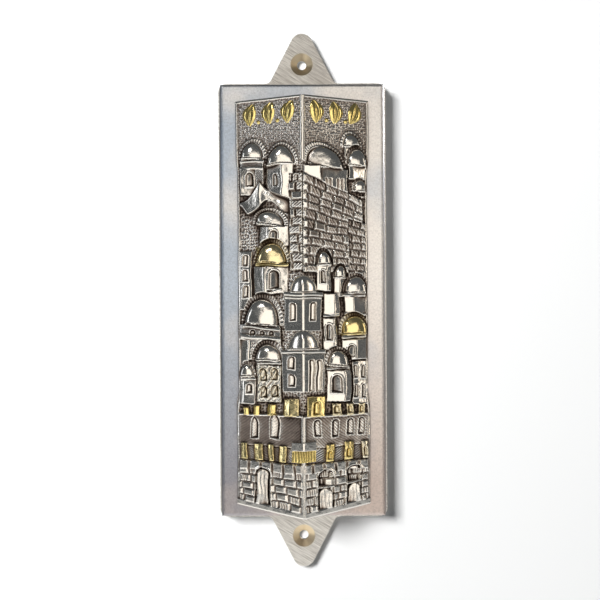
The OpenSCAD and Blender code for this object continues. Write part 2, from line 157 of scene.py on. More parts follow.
mirrored = [
    area_light("front_card", (0.06, -0.95, 0.05), (0.76, 0.66), 2.2, "#FFF8EF"),
    area_light("left_strip", (-0.95, -0.30, 0.10), (0.20, 0.60), 0.9, "#F4F8FF"),
    area_light("right_strip", (0.95, -0.30, 0.10), (0.20, 0.60), 0.9, "#FFF4E6"),
    area_light("spark", (-0.36, -0.86, 0.52), (0.16, 0.16), 0.8, "#FFFFFF")]
for light in mirrored:
    light.visible_diffuse = False   # these four are only there to be mirrored
key = area_light("key", (-0.52, -0.82, 0.32), (0.34, 0.34), 14.5, "#FFFFFF")
key.visible_glossy = False
area_light("back_card", (0.55, 0.75, 0.45), (0.5, 0.5), 9, "#F6F9FF")

world = bpy.data.worlds.new("dim_room")
bpy.context.scene.world = world
world.use_nodes = True
world.node_tree.nodes["Background"].inputs["Color"].default_value = linear("#CFD6DC")
seen = add(world.node_tree, "ShaderNodeLightPath")
glow = add(world.node_tree, "ShaderNodeMapRange", {"To Min": 0.15, "To Max": 0.85},
           {"Value": seen.outputs["Is Camera Ray"]})
background = world.node_tree.nodes["Background"]
world.node_tree.links.new(glow.outputs["Result"], background.inputs["Strength"])


# %% [markdown]
# ## The wall and the floor
# The case hangs against a plain pale wall, just behind its plate. The wall is painted on one side only,
# so the back of the case can be looked at too, and it stays out of the mirror images in the metal.

# %% Wall and floor
def stage_plane(name, points, material):
    mesh = bpy.data.meshes.new(name)
    mesh.from_pydata(points, [], [(0, 1, 2, 3)])
    plane = bpy.data.objects.new(name, mesh)
    plane.data.materials.append(material)
    bpy.context.scene.collection.objects.link(plane)
    return plane


def pale_paint(name, one_sided, glow):
    # matt and nearly white; one_sided leaves it clear from behind, and glow lifts what the lights miss
    material = bpy.data.materials.new(name)
    material.use_nodes = True
    tree = material.node_tree
    paint = tree.nodes["Principled BSDF"]
    paint.inputs["Base Color"].default_value = linear("#F7F7F6")
    paint.inputs["Roughness"].default_value = 0.9
    paint.inputs["Emission Color"].default_value = linear("#F7F7F6")
    paint.inputs["Emission Strength"].default_value = glow
    if one_sided:
        side = add(tree, "ShaderNodeNewGeometry")
        clear = add(tree, "ShaderNodeBsdfTransparent")
        both = add(tree, "ShaderNodeMixShader",
                   links={0: side.outputs["Backfacing"], 1: paint.outputs[0], 2: clear.outputs[0]})
        tree.links.new(both.outputs[0], tree.nodes["Material Output"].inputs["Surface"])
    return material


REACH = 1.9                     # metres from the case to the edge of the floor
FLOOR = -0.45                   # metres, height of the floor under the middle of the case
BEHIND = 0.0004                 # metres between the plate and the wall
wall = stage_plane("wall", [(-REACH, BEHIND, FLOOR), (REACH, BEHIND, FLOOR), (REACH, BEHIND, REACH),
                            (-REACH, BEHIND, REACH)], pale_paint("wall_paint", True, 0.0))
wall.visible_shadow = False
wall.visible_diffuse = False
wall.visible_glossy = False
floor = stage_plane("floor", [(-REACH, -REACH, FLOOR), (REACH, -REACH, FLOOR), (REACH, REACH, FLOOR),
                              (-REACH, REACH, FLOOR)], pale_paint("floor_paint", False, 0.3))
floor.visible_diffuse = False    # so it doesn't fill the shadow on the wall
print(f"wall and floor reach {REACH} m")

# %% [markdown]
# ## How a finish is put together
# Every metal, skin and paper here is one Principled surface. Its pattern is measured on the object
# itself, in metres, so it stays where it is when a piece moves. Three helpers start a finish, set the
# colours of a ramp, and link the colour, the roughness and the relief to the surface.

# %% Finish helpers
def new_material(name):
    """A material, its tree, its surface, and the place on the object, in metres."""
    material = bpy.data.materials.new(name)
    material.use_nodes = True
    tree = material.node_tree
    return material, tree, tree.nodes["Principled BSDF"], add(tree, "ShaderNodeTexCoord").outputs["Object"]


def stops(node, *marks):
    """Set the marks of a colour ramp, each a place and a colour."""
    ramp = node.color_ramp.elements
    while len(ramp) < len(marks):
        ramp.new(0.5)
    for mark, (place, colour) in zip(ramp, marks):
        mark.position = place
        mark.color = linear(colour)
    return node.outputs["Color"]


def dress(tree, surface, colour, roughness, relief, metallic=1.0):
    """Link a finish to the surface."""
    surface.inputs["Metallic"].default_value = metallic
    tree.links.new(colour, surface.inputs["Base Color"])
    tree.links.new(roughness, surface.inputs["Roughness"])
    tree.links.new(relief, surface.inputs["Normal"])


print("a finish has a colour, a roughness and a relief")

# %% [markdown]
# ## Satin silver
# The frame is silver rubbed with fine grit. The grit leaves a soft, slightly grainy surface that
# mirrors only broad patches of light, and years on a doorpost leave faint clouds of tarnish. Over
# them the colour runs from a darker cool grey on the left to a bright warm white on the right, which
# is a painted reflection of the dim left and the bright right of the room. Silver is a metal, so its
# colour is in the reflection, and its roughness carries the finish.

# %% Satin silver
GRIT = 0.45                     # millimetres between the marks of the grit, drawn coarse enough to show


def satin_silver():
    # soft grey with a fine sparkle of grit; darker and bluish on the left, bright and warm on the right, a
    # painted reflection of the room
    material, tree, metal, place = new_material("satin_silver")
    clouds = add(tree, "ShaderNodeTexNoise", {"Scale": 1 / (20 * MM), "Detail": 3.0, "Roughness": 0.5},
                 {"Vector": place})
    along = add(tree, "ShaderNodeSeparateXYZ", links={0: place})
    # painted reflection: a ramp across the case, from cool and darker on the left to warm and bright on the
    # right, added to the tarnish clouds
    tarnish_and_painted_reflection = add(tree, "ShaderNodeMath", {1: 0.12 / HALF_W / MM},
                 {0: along.outputs["X"], 2: clouds.outputs["Fac"]}, operation="MULTIPLY_ADD")
    tint = add(tree, "ShaderNodeValToRGB", links={"Fac": tarnish_and_painted_reflection.outputs["Value"]})
    grit = add(tree, "ShaderNodeTexNoise", {"Scale": 1 / (GRIT * MM), "Detail": 4.0, "Roughness": 0.65},
               {"Vector": place})
    rough = add(tree, "ShaderNodeMapRange",
                {"From Min": 0.3, "From Max": 0.7, "To Min": 0.29, "To Max": 0.47},
                {"Value": grit.outputs["Fac"]})
    relief = add(tree, "ShaderNodeBump", {"Strength": 0.8, "Distance": 0.09 * MM},
                 {"Height": grit.outputs["Fac"]})
    dust = add(tree, "ShaderNodeMapRange",
               {"From Min": 0.35, "From Max": 0.6, "To Min": 0.76, "To Max": 1.0},
               {"Value": grit.outputs["Fac"]})
    grained = add(tree, "ShaderNodeMix", {"Factor": 1.0},
                  {"A": stops(tint, (0.34, "#BCC6D2"), (0.64, "#F3EEE8")), "B": dust.outputs["Result"]},
                  data_type="RGBA", blend_type="MULTIPLY")
    # painted shade: the lower half is a little darker and redder, where less of the card's light reaches
    lower = add(tree, "ShaderNodeMapRange", {"From Min": 5 * MM, "From Max": -50 * MM},
                {"Value": along.outputs["Z"]})
    low_painted_shade = add(tree, "ShaderNodeMix", {"B": linear("#D3C7C2")},
                  {"Factor": lower.outputs["Result"], "A": grained.outputs["Result"]},
                  data_type="RGBA", blend_type="MULTIPLY")
    dress(tree, metal, low_painted_shade.outputs["Result"], rough.outputs["Result"], relief.outputs["Normal"])
    return material


satin = satin_silver()
print("made", satin.name)

# %% [markdown]
# ## Worn screw seats
# The wall screws have worn their two seats down to the yellow metal under the plating. A second colour
# mixed in by distance from the hole does this. Both seats stand equally far from the middle of the
# case, so one distance, measured on folded coordinates, serves both.

# %% Worn screw seats
SCREW_HEIGHT = 66.35            # height of a wall screw over the middle of the case
SEAT_R = 3.15                   # radius of a countersink


def ring_distance(tree, place, x, z):
    """Distance in XZ from the nearest of the mirrored points (x, z)."""
    folded = add(tree, "ShaderNodeVectorMath", links={0: place}, operation="ABSOLUTE")
    flat = add(tree, "ShaderNodeVectorMath", {1: (1, 0, 1)}, {0: folded.outputs[0]}, operation="MULTIPLY")
    away = add(tree, "ShaderNodeVectorMath", {1: (x * MM, 0, z * MM)}, {0: flat.outputs[0]},
               operation="DISTANCE")
    return away.outputs["Value"]


def worn_seats(tree, place, colour):
    """Yellow metal shows through on the two countersinks, and only on the front."""
    worn = add(tree, "ShaderNodeMapRange",
               {"From Min": (SEAT_R + 0.15) * MM, "From Max": (SEAT_R - 0.25) * MM},
               {"Value": ring_distance(tree, place, 0, SCREW_HEIGHT)})
    along = add(tree, "ShaderNodeSeparateXYZ", links={0: place})
    front = add(tree, "ShaderNodeMapRange", {"From Min": -0.4 * MM, "From Max": -0.7 * MM},
                {"Value": along.outputs["Y"]})
    both = add(tree, "ShaderNodeMath", links={0: worn.outputs["Result"], 1: front.outputs["Result"]},
               operation="MULTIPLY")
    seat = add(tree, "ShaderNodeMix", {"B": linear("#DCC9A8")},
               {"Factor": both.outputs["Value"], "A": colour}, data_type="RGBA")
    return seat.outputs["Result"]


print(f"seats of {2 * SEAT_R} mm at {SCREW_HEIGHT} mm over and under the middle")

# %% [markdown]
# ## Brushed silver
# The plate and its ears were rubbed with a coarser stone, in one slanting direction. Long fine
# scratches come from noise that is stretched along the stroke, and slow clouds are the tarnish. The
# door and the hidden fittings use the same recipe with other strokes.

# %% Brushed silver
STROKE = 4.5                    # millimetres, length of a scratch
SCRATCH = 0.20                  # millimetres between scratches, drawn coarse enough to show


def brushed_silver(name, light, dark, least, most, angle, seats=False):
    # parallel scratches that catch the light one by one
    material, tree, metal, place = new_material(name)
    turned = add(tree, "ShaderNodeMapping", {"Rotation": (0, math.radians(angle), 0)}, {"Vector": place},
                 vector_type="TEXTURE")
    strokes = add(tree, "ShaderNodeMapping",
                  {"Scale": (1 / (STROKE * MM), 1 / (STROKE * MM), 1 / (SCRATCH * MM))},
                  {"Vector": turned.outputs["Vector"]})
    scratch = add(tree, "ShaderNodeTexNoise", {"Scale": 1.0, "Detail": 4.0, "Roughness": 0.6},
                  {"Vector": strokes.outputs["Vector"]})
    clouds = add(tree, "ShaderNodeTexNoise", {"Scale": 1 / (9 * MM), "Detail": 3.0}, {"Vector": place})
    mixed = add(tree, "ShaderNodeMath", {1: 0.2}, {0: clouds.outputs["Fac"], 2: scratch.outputs["Fac"]},
                operation="MULTIPLY_ADD")
    tint = add(tree, "ShaderNodeValToRGB", links={"Fac": mixed.outputs["Value"]})
    colour = stops(tint, (0.44, dark), (0.74, light))
    if seats:
        colour = worn_seats(tree, place, colour)
    rough = add(tree, "ShaderNodeMapRange",
                {"From Min": 0.3, "From Max": 0.7, "To Min": least, "To Max": most},
                {"Value": scratch.outputs["Fac"]})
    relief = add(tree, "ShaderNodeBump", {"Strength": 0.6, "Distance": 0.06 * MM},
                 {"Height": scratch.outputs["Fac"]})
    dress(tree, metal, colour, rough.outputs["Result"], relief.outputs["Normal"])
    return material


plate_silver = brushed_silver("brushed_silver", "#E0DDD6", "#A09B95", 0.30, 0.48, 32, seats=True)
door_silver = brushed_silver("long_brushed_silver", "#D2CEC7", "#AFAAA3", 0.28, 0.44, 88)
inner_metal = brushed_silver("rolled_nickel_silver", "#B8B7B2", "#97958F", 0.34, 0.52, 90)
print("made", plate_silver.name, door_silver.name, inner_metal.name)

# %% [markdown]
# ## Chased silver, oxidised and part gilt
# After chasing, the smith blackens the whole sheet with sulphur and rubs the high places bright
# again. So the colour depends on the depth: each vertex of a chased piece carries how hollow its
# place is, and how much gold was laid on it. The same map also sets the roughness, because a hollow
# keeps its dull crust and a crest is burnished.

# %% Chased silver
def chased_silver():
    # bright crests, warm grey flanks and brown-black hollows; gold is pale where it is rubbed
    material, tree, metal, place = new_material("oxidised_chased_silver")
    hollow = add(tree, "ShaderNodeAttribute", attribute_name="hollow")
    gilt = add(tree, "ShaderNodeAttribute", attribute_name="gilt")
    crust = add(tree, "ShaderNodeTexNoise", {"Scale": 1 / (0.5 * MM), "Detail": 4.0, "Roughness": 0.6},
                {"Vector": place})
    patches = add(tree, "ShaderNodeTexNoise", {"Scale": 1 / (6 * MM), "Detail": 2.0}, {"Vector": place})
    both = add(tree, "ShaderNodeMath", links={0: crust.outputs["Fac"], 1: patches.outputs["Fac"]},
               operation="ADD")
    uneven = add(tree, "ShaderNodeMath", {1: 0.3, 2: -0.3}, {0: both.outputs["Value"]},
                 operation="MULTIPLY_ADD")
    depth = add(tree, "ShaderNodeMath", links={0: hollow.outputs["Fac"], 1: uneven.outputs["Value"]},
                operation="ADD")
    silver = add(tree, "ShaderNodeValToRGB", links={"Fac": depth.outputs["Value"]})
    gold = add(tree, "ShaderNodeValToRGB", links={"Fac": depth.outputs["Value"]})
    colour = add(tree, "ShaderNodeMix", links={
        "Factor": gilt.outputs["Fac"],
        "A": stops(silver, (0.2, "#E4DFD6"), (0.52, "#94867B"), (0.92, "#3B312B")),
        "B": stops(gold, (0.2, "#F3DA88"), (0.92, "#5C451A"))}, data_type="RGBA")
    rough = add(tree, "ShaderNodeMapRange",
                {"From Min": 0.15, "From Max": 0.8, "To Min": 0.17, "To Max": 0.5},
                {"Value": depth.outputs["Value"]})
    hammer = add(tree, "ShaderNodeTexNoise", {"Scale": 1 / (1.3 * MM), "Detail": 1.0}, {"Vector": place})
    marks = add(tree, "ShaderNodeMath", {1: 4.0}, {0: hammer.outputs["Fac"], 2: crust.outputs["Fac"]},
                operation="MULTIPLY_ADD")
    relief = add(tree, "ShaderNodeBump", {"Strength": 0.4, "Distance": 0.03 * MM},
                 {"Height": marks.outputs["Value"]})
    dress(tree, metal, colour.outputs["Result"], rough.outputs["Result"], relief.outputs["Normal"])
    return material


chased = chased_silver()
print("metals:", [m.name for m in bpy.data.materials if m.use_nodes])

# %% [markdown]
# ## The slope of the gable
# The bare sheets slope back from the ridge, which years of hands have rubbed round, and their foot
# hangs lower at the ridge than at the sides. Three small functions say so, and one soft step serves
# every edge that the smith draws. All of them take whole grids of places at once.

# %% The bare sheet
def smooth(distance, width):
    """0 outside, 1 inside, with a soft step of the given width."""
    t = np.clip(distance / width, 0, 1)
    return t * t * (3 - 2 * t)


def soft_abs(x, radius=SOFT_RIDGE):
    return np.sqrt(x * x + radius * radius) - radius


def surface(x):
    """Y of the bare sheet, in millimetres."""
    return -RIDGE + RISE * soft_abs(x) / HALF_W


def bottom_edge(x):
    return POINT + RIDGE_DROP * np.abs(x) / HALF_W


print(f"the bare sheet lies {-surface(0.0):.2f} mm from the wall at the ridge, "
      f"{-surface(HALF_W):.2f} mm at its edge")

# %% [markdown]
# ## Uneven ground
# The smith's hammer leaves no place quite even, and a matting punch leaves round dimples. Slow hills
# are drawn by blending between the corners of a coarse net of random heights, and dimples by measuring
# how far the nearest punch mark is. The same seed always draws the same marks.

# %% Hills and punch marks
SHIFT_X, SHIFT_Z = 40, 80       # millimetres, keep every place on the sheet above zero


def lattice(seed, columns, rows):
    return np.random.default_rng(seed).random((rows + 3, columns + 3))


def cloud(x, z, size, seed):
    """Smooth random hills, each about as wide as size."""
    a, b = (x + SHIFT_X) / size, (z + SHIFT_Z) / size
    i, j = np.floor(a).astype(int), np.floor(b).astype(int)
    values = lattice(seed, i.max() + 1, j.max() + 1)
    u, v = smooth(a - i, 1), smooth(b - j, 1)
    low = values[j, i] * (1 - u) + values[j, i + 1] * u
    high = values[j + 1, i] * (1 - u) + values[j + 1, i + 1] * u
    return low * (1 - v) + high * v


def punch_marks(x, z, pitch, radius, seed):
    """Round dimples on a jittered grid, as from a matting punch."""
    a, b = (x + SHIFT_X) / pitch, (z + SHIFT_Z) / pitch
    i, j = np.floor(a).astype(int), np.floor(b).astype(int)
    shift_x = lattice(seed, i.max() + 2, j.max() + 2)
    shift_z = lattice(seed + 1, i.max() + 2, j.max() + 2)
    nearest = np.full(x.shape, 9.0)
    for di in (-1, 0, 1):
        for dj in (-1, 0, 1):
            ci, cj = i + di, j + dj
            px = ci + 0.2 + 0.6 * shift_x[cj, ci]
            pz = cj + 0.2 + 0.6 * shift_z[cj, ci]
            nearest = np.minimum(nearest, np.hypot(a - px, b - pz) * pitch)
    return np.exp(-(nearest / radius) ** 2)


def blurred(field, reach):
    """A soft average over a few grid steps, first along one direction and then along the other."""
    steps = np.arange(-2 * reach, 2 * reach + 1)
    weights = np.exp(-0.5 * (steps / reach) ** 2)
    weights /= weights.sum()
    for axis in (0, 1):
        pad = [(0, 0), (0, 0)]
        pad[axis] = (2 * reach, 2 * reach)
        wide = np.pad(field, pad, mode="edge")
        size = field.shape[axis]
        parts = [w * np.take(wide, range(k, k + size), axis=axis) for k, w in enumerate(weights)]
        field = sum(parts)
    return field


print("uneven ground:", cloud.__name__, punch_marks.__name__, blurred.__name__)

# %% [markdown]
# ## A sheet under the punch
# Repoussé is drawing in height: the sheet starts flat, and every house, dome and course of stone is
# a patch pushed up or down. So the sheet is a fine grid of heights, and each tool of the smith raises
# or sinks a patch of it. Later work lies over earlier work, as on the real sheet, where the near
# houses are drawn last. The grid becomes one closed mesh at the end.

# %% The chased sheet
WANDER = 0.5                    # millimetres, how far a drawn line strays


class ChasedSheet:
    """A grid of heights over the bare sheet. X runs to the right, Z up, all in millimetres. Drawing
    is done at x and z, which wander a little from the true X and Z, as a hand does."""

    def __init__(self, true_x, true_z):
        self.true_x, self.true_z = true_x, true_z
        free = smooth(np.abs(true_x), 3.0)
        self.x = true_x + WANDER * free * (cloud(true_x, true_z, 3.1, 101) - 0.5)
        self.z = true_z + 1.3 * WANDER * (cloud(true_x, true_z, 4.3, 102) - 0.5)
        self.h = np.zeros_like(true_x)
        self.gilt = np.zeros_like(true_x)
        self.tarnish = np.zeros_like(true_x)

    def inside(self, x0, x1, z0, z1):
        return np.minimum(np.minimum(self.x - min(x0, x1), max(x0, x1) - self.x),
                          np.minimum(self.z - z0, z1 - self.z))

    def lay(self, mask, height, gilt=0.0, tarnish=0.0):
        self.h = self.h * (1 - mask) + height * mask
        self.gilt = self.gilt * (1 - mask) + gilt * mask
        self.tarnish = self.tarnish * (1 - mask) + tarnish * mask

    def gild(self, mask, amount):
        self.gilt = np.maximum(self.gilt, mask * amount)

    def facing(self, x, slope):
        """A tilt against the slope of the sheet, so that what is near x looks straight ahead."""
        return slope * math.copysign(1, x) * (self.x - x) if x else 0 * self.x


def hollowness(sheet):
    """How deep each point lies under its neighbours, from 0 on a crest to 1 in a pit."""
    near = blurred(sheet.h, 2) - sheet.h
    far = blurred(sheet.h, 7) - sheet.h
    return np.clip(0.2 + 1.7 * near + 0.7 * far + sheet.tarnish, 0, 1)


print("a sheet can:", [n for n in vars(ChasedSheet) if not n.startswith("_")])

# %% [markdown]
# ## Two textures
# A chisel held at a slant leaves parallel cuts, and a coarse round punch leaves beaten ground. Both
# only sink the metal a few tenths of a millimetre, but they break up every reflection and they hold
# the black crust, so they carry most of the contrast between the walls and the polished domes.

# %% Chisel and punch
def hatch(sheet, mask, pitch, angle, depth, tarnish=0.2):
    """Slanting cuts of a chisel, which hold the tarnish."""
    a = math.radians(angle)
    run = sheet.x * math.cos(a) + sheet.z * math.sin(a) + 0.35 * (cloud(sheet.x, sheet.z, 2.2, 5) - 0.5)
    sheet.h = sheet.h - depth * mask * (0.5 + 0.5 * np.cos(2 * math.pi * run / pitch))
    sheet.tarnish = np.maximum(sheet.tarnish, tarnish * mask)


def beat(sheet, mask, depth, size, seed):
    """Ground beaten with a coarse punch, whose marks hold a little tarnish."""
    sheet.h = sheet.h - depth * mask * punch_marks(sheet.x, sheet.z, size, 0.36 * size, seed)
    sheet.tarnish = np.maximum(sheet.tarnish, 0.16 * mask)


print("textures:", hatch.__name__, beat.__name__)

# %% [markdown]
# ## Walls and mouldings
# A house is a raised block. When it shows its corner, its two faces fall away on both sides of it, and
# one of them then mirrors the bright card while the other mirrors the dark room. That is how a relief
# of one or two millimetres reads as a deep building.

# %% Walls and mouldings
def block(sheet, x0, x1, z0, z1, p, edge=0.14, gilt=0.0, corner=None, fall=0.42, tilt=0.0):
    """A wall of height p. With a corner, its two faces fall away to both sides of it."""
    top = p - (fall * soft_abs(sheet.x - corner, 0.12) if corner is not None else 0)
    top = top + tilt * (sheet.x - x0)
    sheet.lay(smooth(sheet.inside(x0, x1, z0, z1), edge), top, gilt)


def moulding(sheet, x0, x1, z, p, thick, slope=0.0, gilt=0.0):
    """A half-round bar along z, raised by p."""
    off = sheet.z - z - slope * (sheet.x - 0.5 * (x0 + x1))
    ends = np.minimum(sheet.x - min(x0, x1), max(x0, x1) - sheet.x)
    bar = smooth(np.minimum(thick / 2 - np.abs(off), ends), 0.1)
    round_top = np.sqrt(np.clip(1 - (2 * off / thick) ** 2, 0, 1))
    sheet.lay(bar, p - 0.35 + 0.35 * round_top, gilt)


print("walls:", block.__name__, moulding.__name__)

# %% [markdown]
# ## Domes
# A dome is doming-punched from behind and then burnished, so it is the smoothest and brightest thing on
# the sheet. It is fuller than a half ball, because a flat crown mirrors the card as one wide patch
# instead of a dot. A notched halo is chiselled round it, and a beaded ring closes its foot.

# %% Domes
NOTCH = 0.34                    # width of a notch of the halo
BEAD = 0.62                     # width of a bead
CROWN = 0.3                     # power of the dome's profile; 0.5 would be a half ball


def dome(sheet, x, z, r, h, p, gilt=0.0, halo=1.0, lean=0.0):
    """A dome r wide to each side of x, h tall over its foot at z, and raised by p."""
    base = z + lean * (sheet.x - x)
    up = sheet.z - base
    rho = np.hypot((sheet.x - x) / r, up / h)
    if halo:
        turn = np.arctan2(up / h, (sheet.x - x) / r)
        notches = int(math.pi * (r + 0.5 * halo) / NOTCH)
        collar = smooth(np.minimum((1 + halo / r - rho) * r, up + 0.4), 0.25)
        cuts = 0.5 + 0.5 * np.cos(turn * notches)
        sheet.lay(collar, 0.42 - 0.26 * cuts * smooth((rho - 1.04) * r, 0.2), 0.35 * gilt)
    cap = smooth(np.minimum((1 - rho) * r, up), 0.12)
    swell = np.clip(1 - rho ** 2, 0, 1) ** CROWN
    shallow = sheet.facing(x, 0.4)
    sheet.lay(cap, 0.2 * p + 1.1 * p * swell + shallow, gilt)
    off = up + 0.28
    ends = r + 0.25 - np.abs(sheet.x - x)
    ring = smooth(np.minimum(0.34 - np.abs(off), ends), 0.12)
    bead = np.abs(np.cos((sheet.x - x) * math.pi / BEAD))
    belly = np.clip(1 - ((sheet.x - x) / (r + 0.3)) ** 2, 0, 1) ** CROWN
    sheet.lay(ring, 0.3 * p + 1.0 * p * belly + 0.22 * bead + shallow, gilt)


print(f"notches every {NOTCH} mm, beads every {BEAD} mm")

# %% [markdown]
# ## Windows and doors
# A window is sunk with a small liner punch, and the blow raises a rim of metal round it. What is left
# inside is a soft pillow of bright metal. A door is laid on as a smooth arched panel with a few
# upright cuts.

# %% Windows and doors
def arch(sheet, x, z, w, h, pointed=False):
    """Distance inside an arched outline that stands on z."""
    side = w / 2 - np.abs(sheet.x - x)
    rise = sheet.z - (z + h - w / 2)
    if pointed:
        far = 1.25 * w - np.hypot(np.abs(sheet.x - x) + 0.75 * w, np.clip(rise, 0, None))
        head = np.where(rise > 0, far, side)
    else:
        head = np.where(rise > 0, w / 2 - np.hypot(sheet.x - x, rise), side)
    return np.minimum(head, sheet.z - z)


def window(sheet, x, z, w, h, rim, pointed=False, gilt=0.0):
    """A sunk light w wide and h tall that stands on z, with a raised rim round it."""
    d = arch(sheet, x, z, w, h, pointed)
    rim_mask = smooth(d + rim, 0.1) * (1 - smooth(d, 0.1))
    sheet.h = sheet.h + 0.16 * rim_mask
    sunk = smooth(d, 0.16)
    pillow = 0.3 * smooth(d - 0.2, 0.35)
    sheet.h = sheet.h - (0.24 + 0.22 * w - pillow - sheet.facing(x, 0.45)) * sunk
    sheet.tarnish = sheet.tarnish * (1 - sunk)
    if gilt:
        sheet.gild(np.maximum(rim_mask, sunk), gilt)


def panel(sheet, x, z, w, h, height):
    """A door leaf, laid on."""
    inside = smooth(arch(sheet, x, z, w, h), 0.16)
    sheet.lay(inside, height + sheet.facing(x, 0.42))
    hatch(sheet, inside, 1.1, 4, 0.07, 0.1)


print("openings:", window.__name__, panel.__name__)

# %% [markdown]
# ## Courses of stone
# The keep and the base are dressed stone. Each stone is a soft pillow: its top is cut with the chisel
# and stays dark, and the side that looks towards the ridge is left smooth, so it mirrors the card as a
# bright bar. Every stone sits a little higher or lower than the next one, as real masonry does.

# %% Courses of stone
CUT = 0.62                      # millimetres between the cuts on dressed stone


def stones(sheet, x0, x1, top, bottom, rows, brick, p, seed, hatched, angle, tarnish, swell=0.5,
           soft=0.5, flank=0.55, joint=0.0):
    """Courses of stones between two lines, each given as a function of x. A share of them, hatched,
    is cut at an angle. swell is how far they stand over their joints, and flank their bright side."""
    across = np.minimum(sheet.x - min(x0, x1), max(x0, x1) - sheet.x)
    high, low = top(sheet.x), bottom(sheet.x)
    part = (high - sheet.z) / (high - low)
    row = np.clip(np.floor(part * rows), 0, rows - 1).astype(int)
    tall = (high - low) / rows
    inside_row = (part * rows - row) * tall
    joint_z = np.minimum(inside_row, tall - inside_row)
    offset = lattice(seed, 2, rows)[row, 1] * brick
    along = (np.abs(sheet.x - x0) + offset) / brick
    column = np.floor(along).astype(int)
    ridge_side = (along - column) * brick
    outer_side = (1 + column - along) * brick
    if abs(x0) > abs(x1):
        ridge_side, outer_side = outer_side, ridge_side
    pillow = smooth(joint_z, soft) * np.clip(ridge_side / flank, 0, 1) * smooth(outer_side, soft)
    chance = lattice(seed + 3, column.max() + 2, rows)[row, column]
    mask = smooth(np.minimum(across, np.minimum(high - sheet.z, sheet.z - low)), 0.15)
    level = smooth(ridge_side - flank, 0.2) * smooth(joint_z, soft)
    bright = smooth(flank - ridge_side, 0.2) * smooth(joint_z - 0.15, 0.2)
    sheet.lay(mask, p - swell + swell * pillow + 0.3 * (chance - 0.5), 0.0,
              tarnish * level - 0.25 * bright - joint * (1 - level))
    hatch(sheet, mask * level * (chance < hatched), CUT, angle, 0.2, tarnish)


print(f"masonry cut every {CUT} mm")

# %% [markdown]
# ## The inner face of a sheet
# Nobody sees the inside of the case, so the inner face is closed by plain flat strips from one side
# edge to the other. A casting is bent round the ridge, so its strips meet on a spine in the middle.
# The first and the last strip take in the whole of the foot and of the head.

# %% The inner face of a sheet
def inner_faces(index, behind, spine, keel):
    """Flat strips between the two side edges, or between each side edge and the spine."""
    rows, columns = index.shape
    middle = columns // 2
    faces = []
    for left, right in [(0, middle), (middle, columns - 1)] if keel else [(0, columns - 1)]:
        west = [behind[index[j, 0]] if left == 0 else spine[j] for j in range(rows)]
        east = [behind[index[j, -1]] if right == columns - 1 else spine[j] for j in range(rows)]
        for j in range(rows - 1):
            low, high = [east[j], west[j]], [west[j + 1], east[j + 1]]
            if j == 0:
                low = [behind[index[0, i]] for i in range(right, left - 1, -1)]
            if j == rows - 2:
                high = [behind[index[-1, i]] for i in range(left, right + 1)]
            faces.append(tuple(low + high))
    return faces


print("the back of a sheet:", inner_faces.__name__)

# %% [markdown]
# ## From heights to a closed sheet
# The grid gives the front of the sheet. The edge of the grid is carried back to the inner face, so
# the piece is a real sheet with a thickness. The depth and gilding maps go along as attributes of the
# vertices, for the material to read.

# %% Close a chased sheet
REST = {"hollow": 0.6, "gilt": 0.0}     # both maps on the faces that nobody works


def closed_sheet(name, sheet, back, keel=False):
    """back(x) gives Y of the inner face. keel keeps a middle line, for a casting that bends round
    the ridge."""
    rows, columns = sheet.true_x.shape
    front_y = surface(sheet.true_x) - sheet.h
    front = np.stack([sheet.true_x, front_y, sheet.true_z], axis=-1).reshape(-1, 3)
    index = np.arange(rows * columns).reshape(rows, columns)
    faces = [tuple(f) for f in np.stack([index[:-1, :-1], index[:-1, 1:], index[1:, 1:], index[1:, :-1]],
                                        axis=-1).reshape(-1, 4).tolist()]
    smooth_faces = len(faces)
    loop = np.concatenate([index[0, :-1], index[:-1, -1], index[-1, :0:-1], index[:0:-1, 0]]).tolist()
    start = len(front)
    behind = {v: start + k for k, v in enumerate(loop)}
    rear = front[loop].copy()
    rear[:, 1] = back(rear[:, 0])
    points = np.concatenate([front, rear])
    for k, v in enumerate(loop):
        w = loop[(k + 1) % len(loop)]
        faces.append((w, v, behind[v], behind[w]))
    middle = columns // 2
    spine = [behind[index[0, middle]]]
    if keel:
        inner = front[index[1:-1, middle]].copy()
        inner[:, 1] = back(inner[:, 0])
        spine += list(range(len(points), len(points) + len(inner)))
        points = np.concatenate([points, inner])
    spine.append(behind[index[-1, middle]])
    faces += inner_faces(index, behind, spine, keel)
    mesh = bpy.data.meshes.new(name)
    mesh.from_pydata((points * MM).tolist(), [], faces)
    flags = np.zeros(len(faces), dtype=bool)
    flags[:smooth_faces] = True
    mesh.polygons.foreach_set("use_smooth", flags)
    for label, field in (("hollow", hollowness(sheet)), ("gilt", sheet.gilt)):
        values = np.full(len(points), REST[label])
        values[:rows * columns] = field.reshape(-1)
        mesh.attributes.new(label, "FLOAT", "POINT").data.foreach_set("value", values.astype(np.float32))
    mesh.update()
    piece = bpy.data.objects.new(name, mesh)
    piece.data.materials.append(chased)
    bpy.context.scene.collection.objects.link(piece)
    print(f"{name}: {rows} x {columns} heights, {sum(len(f) - 2 for f in faces)} triangles")
    return piece


# %% [markdown]
# ## The two sheets
# Both sheets share their ground: a band beaten with a matting punch at the top, rough ground lower
# down, and a rubbed rim along the hand-cut outer edge. Then come the houses, from the far ones at the
# top to the near ones at the bottom. The domes are left smooth, so they mirror the room, and the
# stones are hatched, so they break the light up.

# %% The ground of a sheet
ROWS, COLUMNS = 691, 129        # heights up and across each sheet, about 0.16 mm apart


def cut_edge(z, seed):
    """The hand-cut outer edge wanders in and out."""
    wave = cloud(np.zeros_like(z), z, 9.0, seed) + 0.5 * cloud(np.zeros_like(z), z, 3.5, seed + 1)
    houses = smooth(z + 30, 4) * (1 - smooth(z - 33, 6))
    return HALF_W - 0.45 + 0.3 * wave - 0.5 * houses


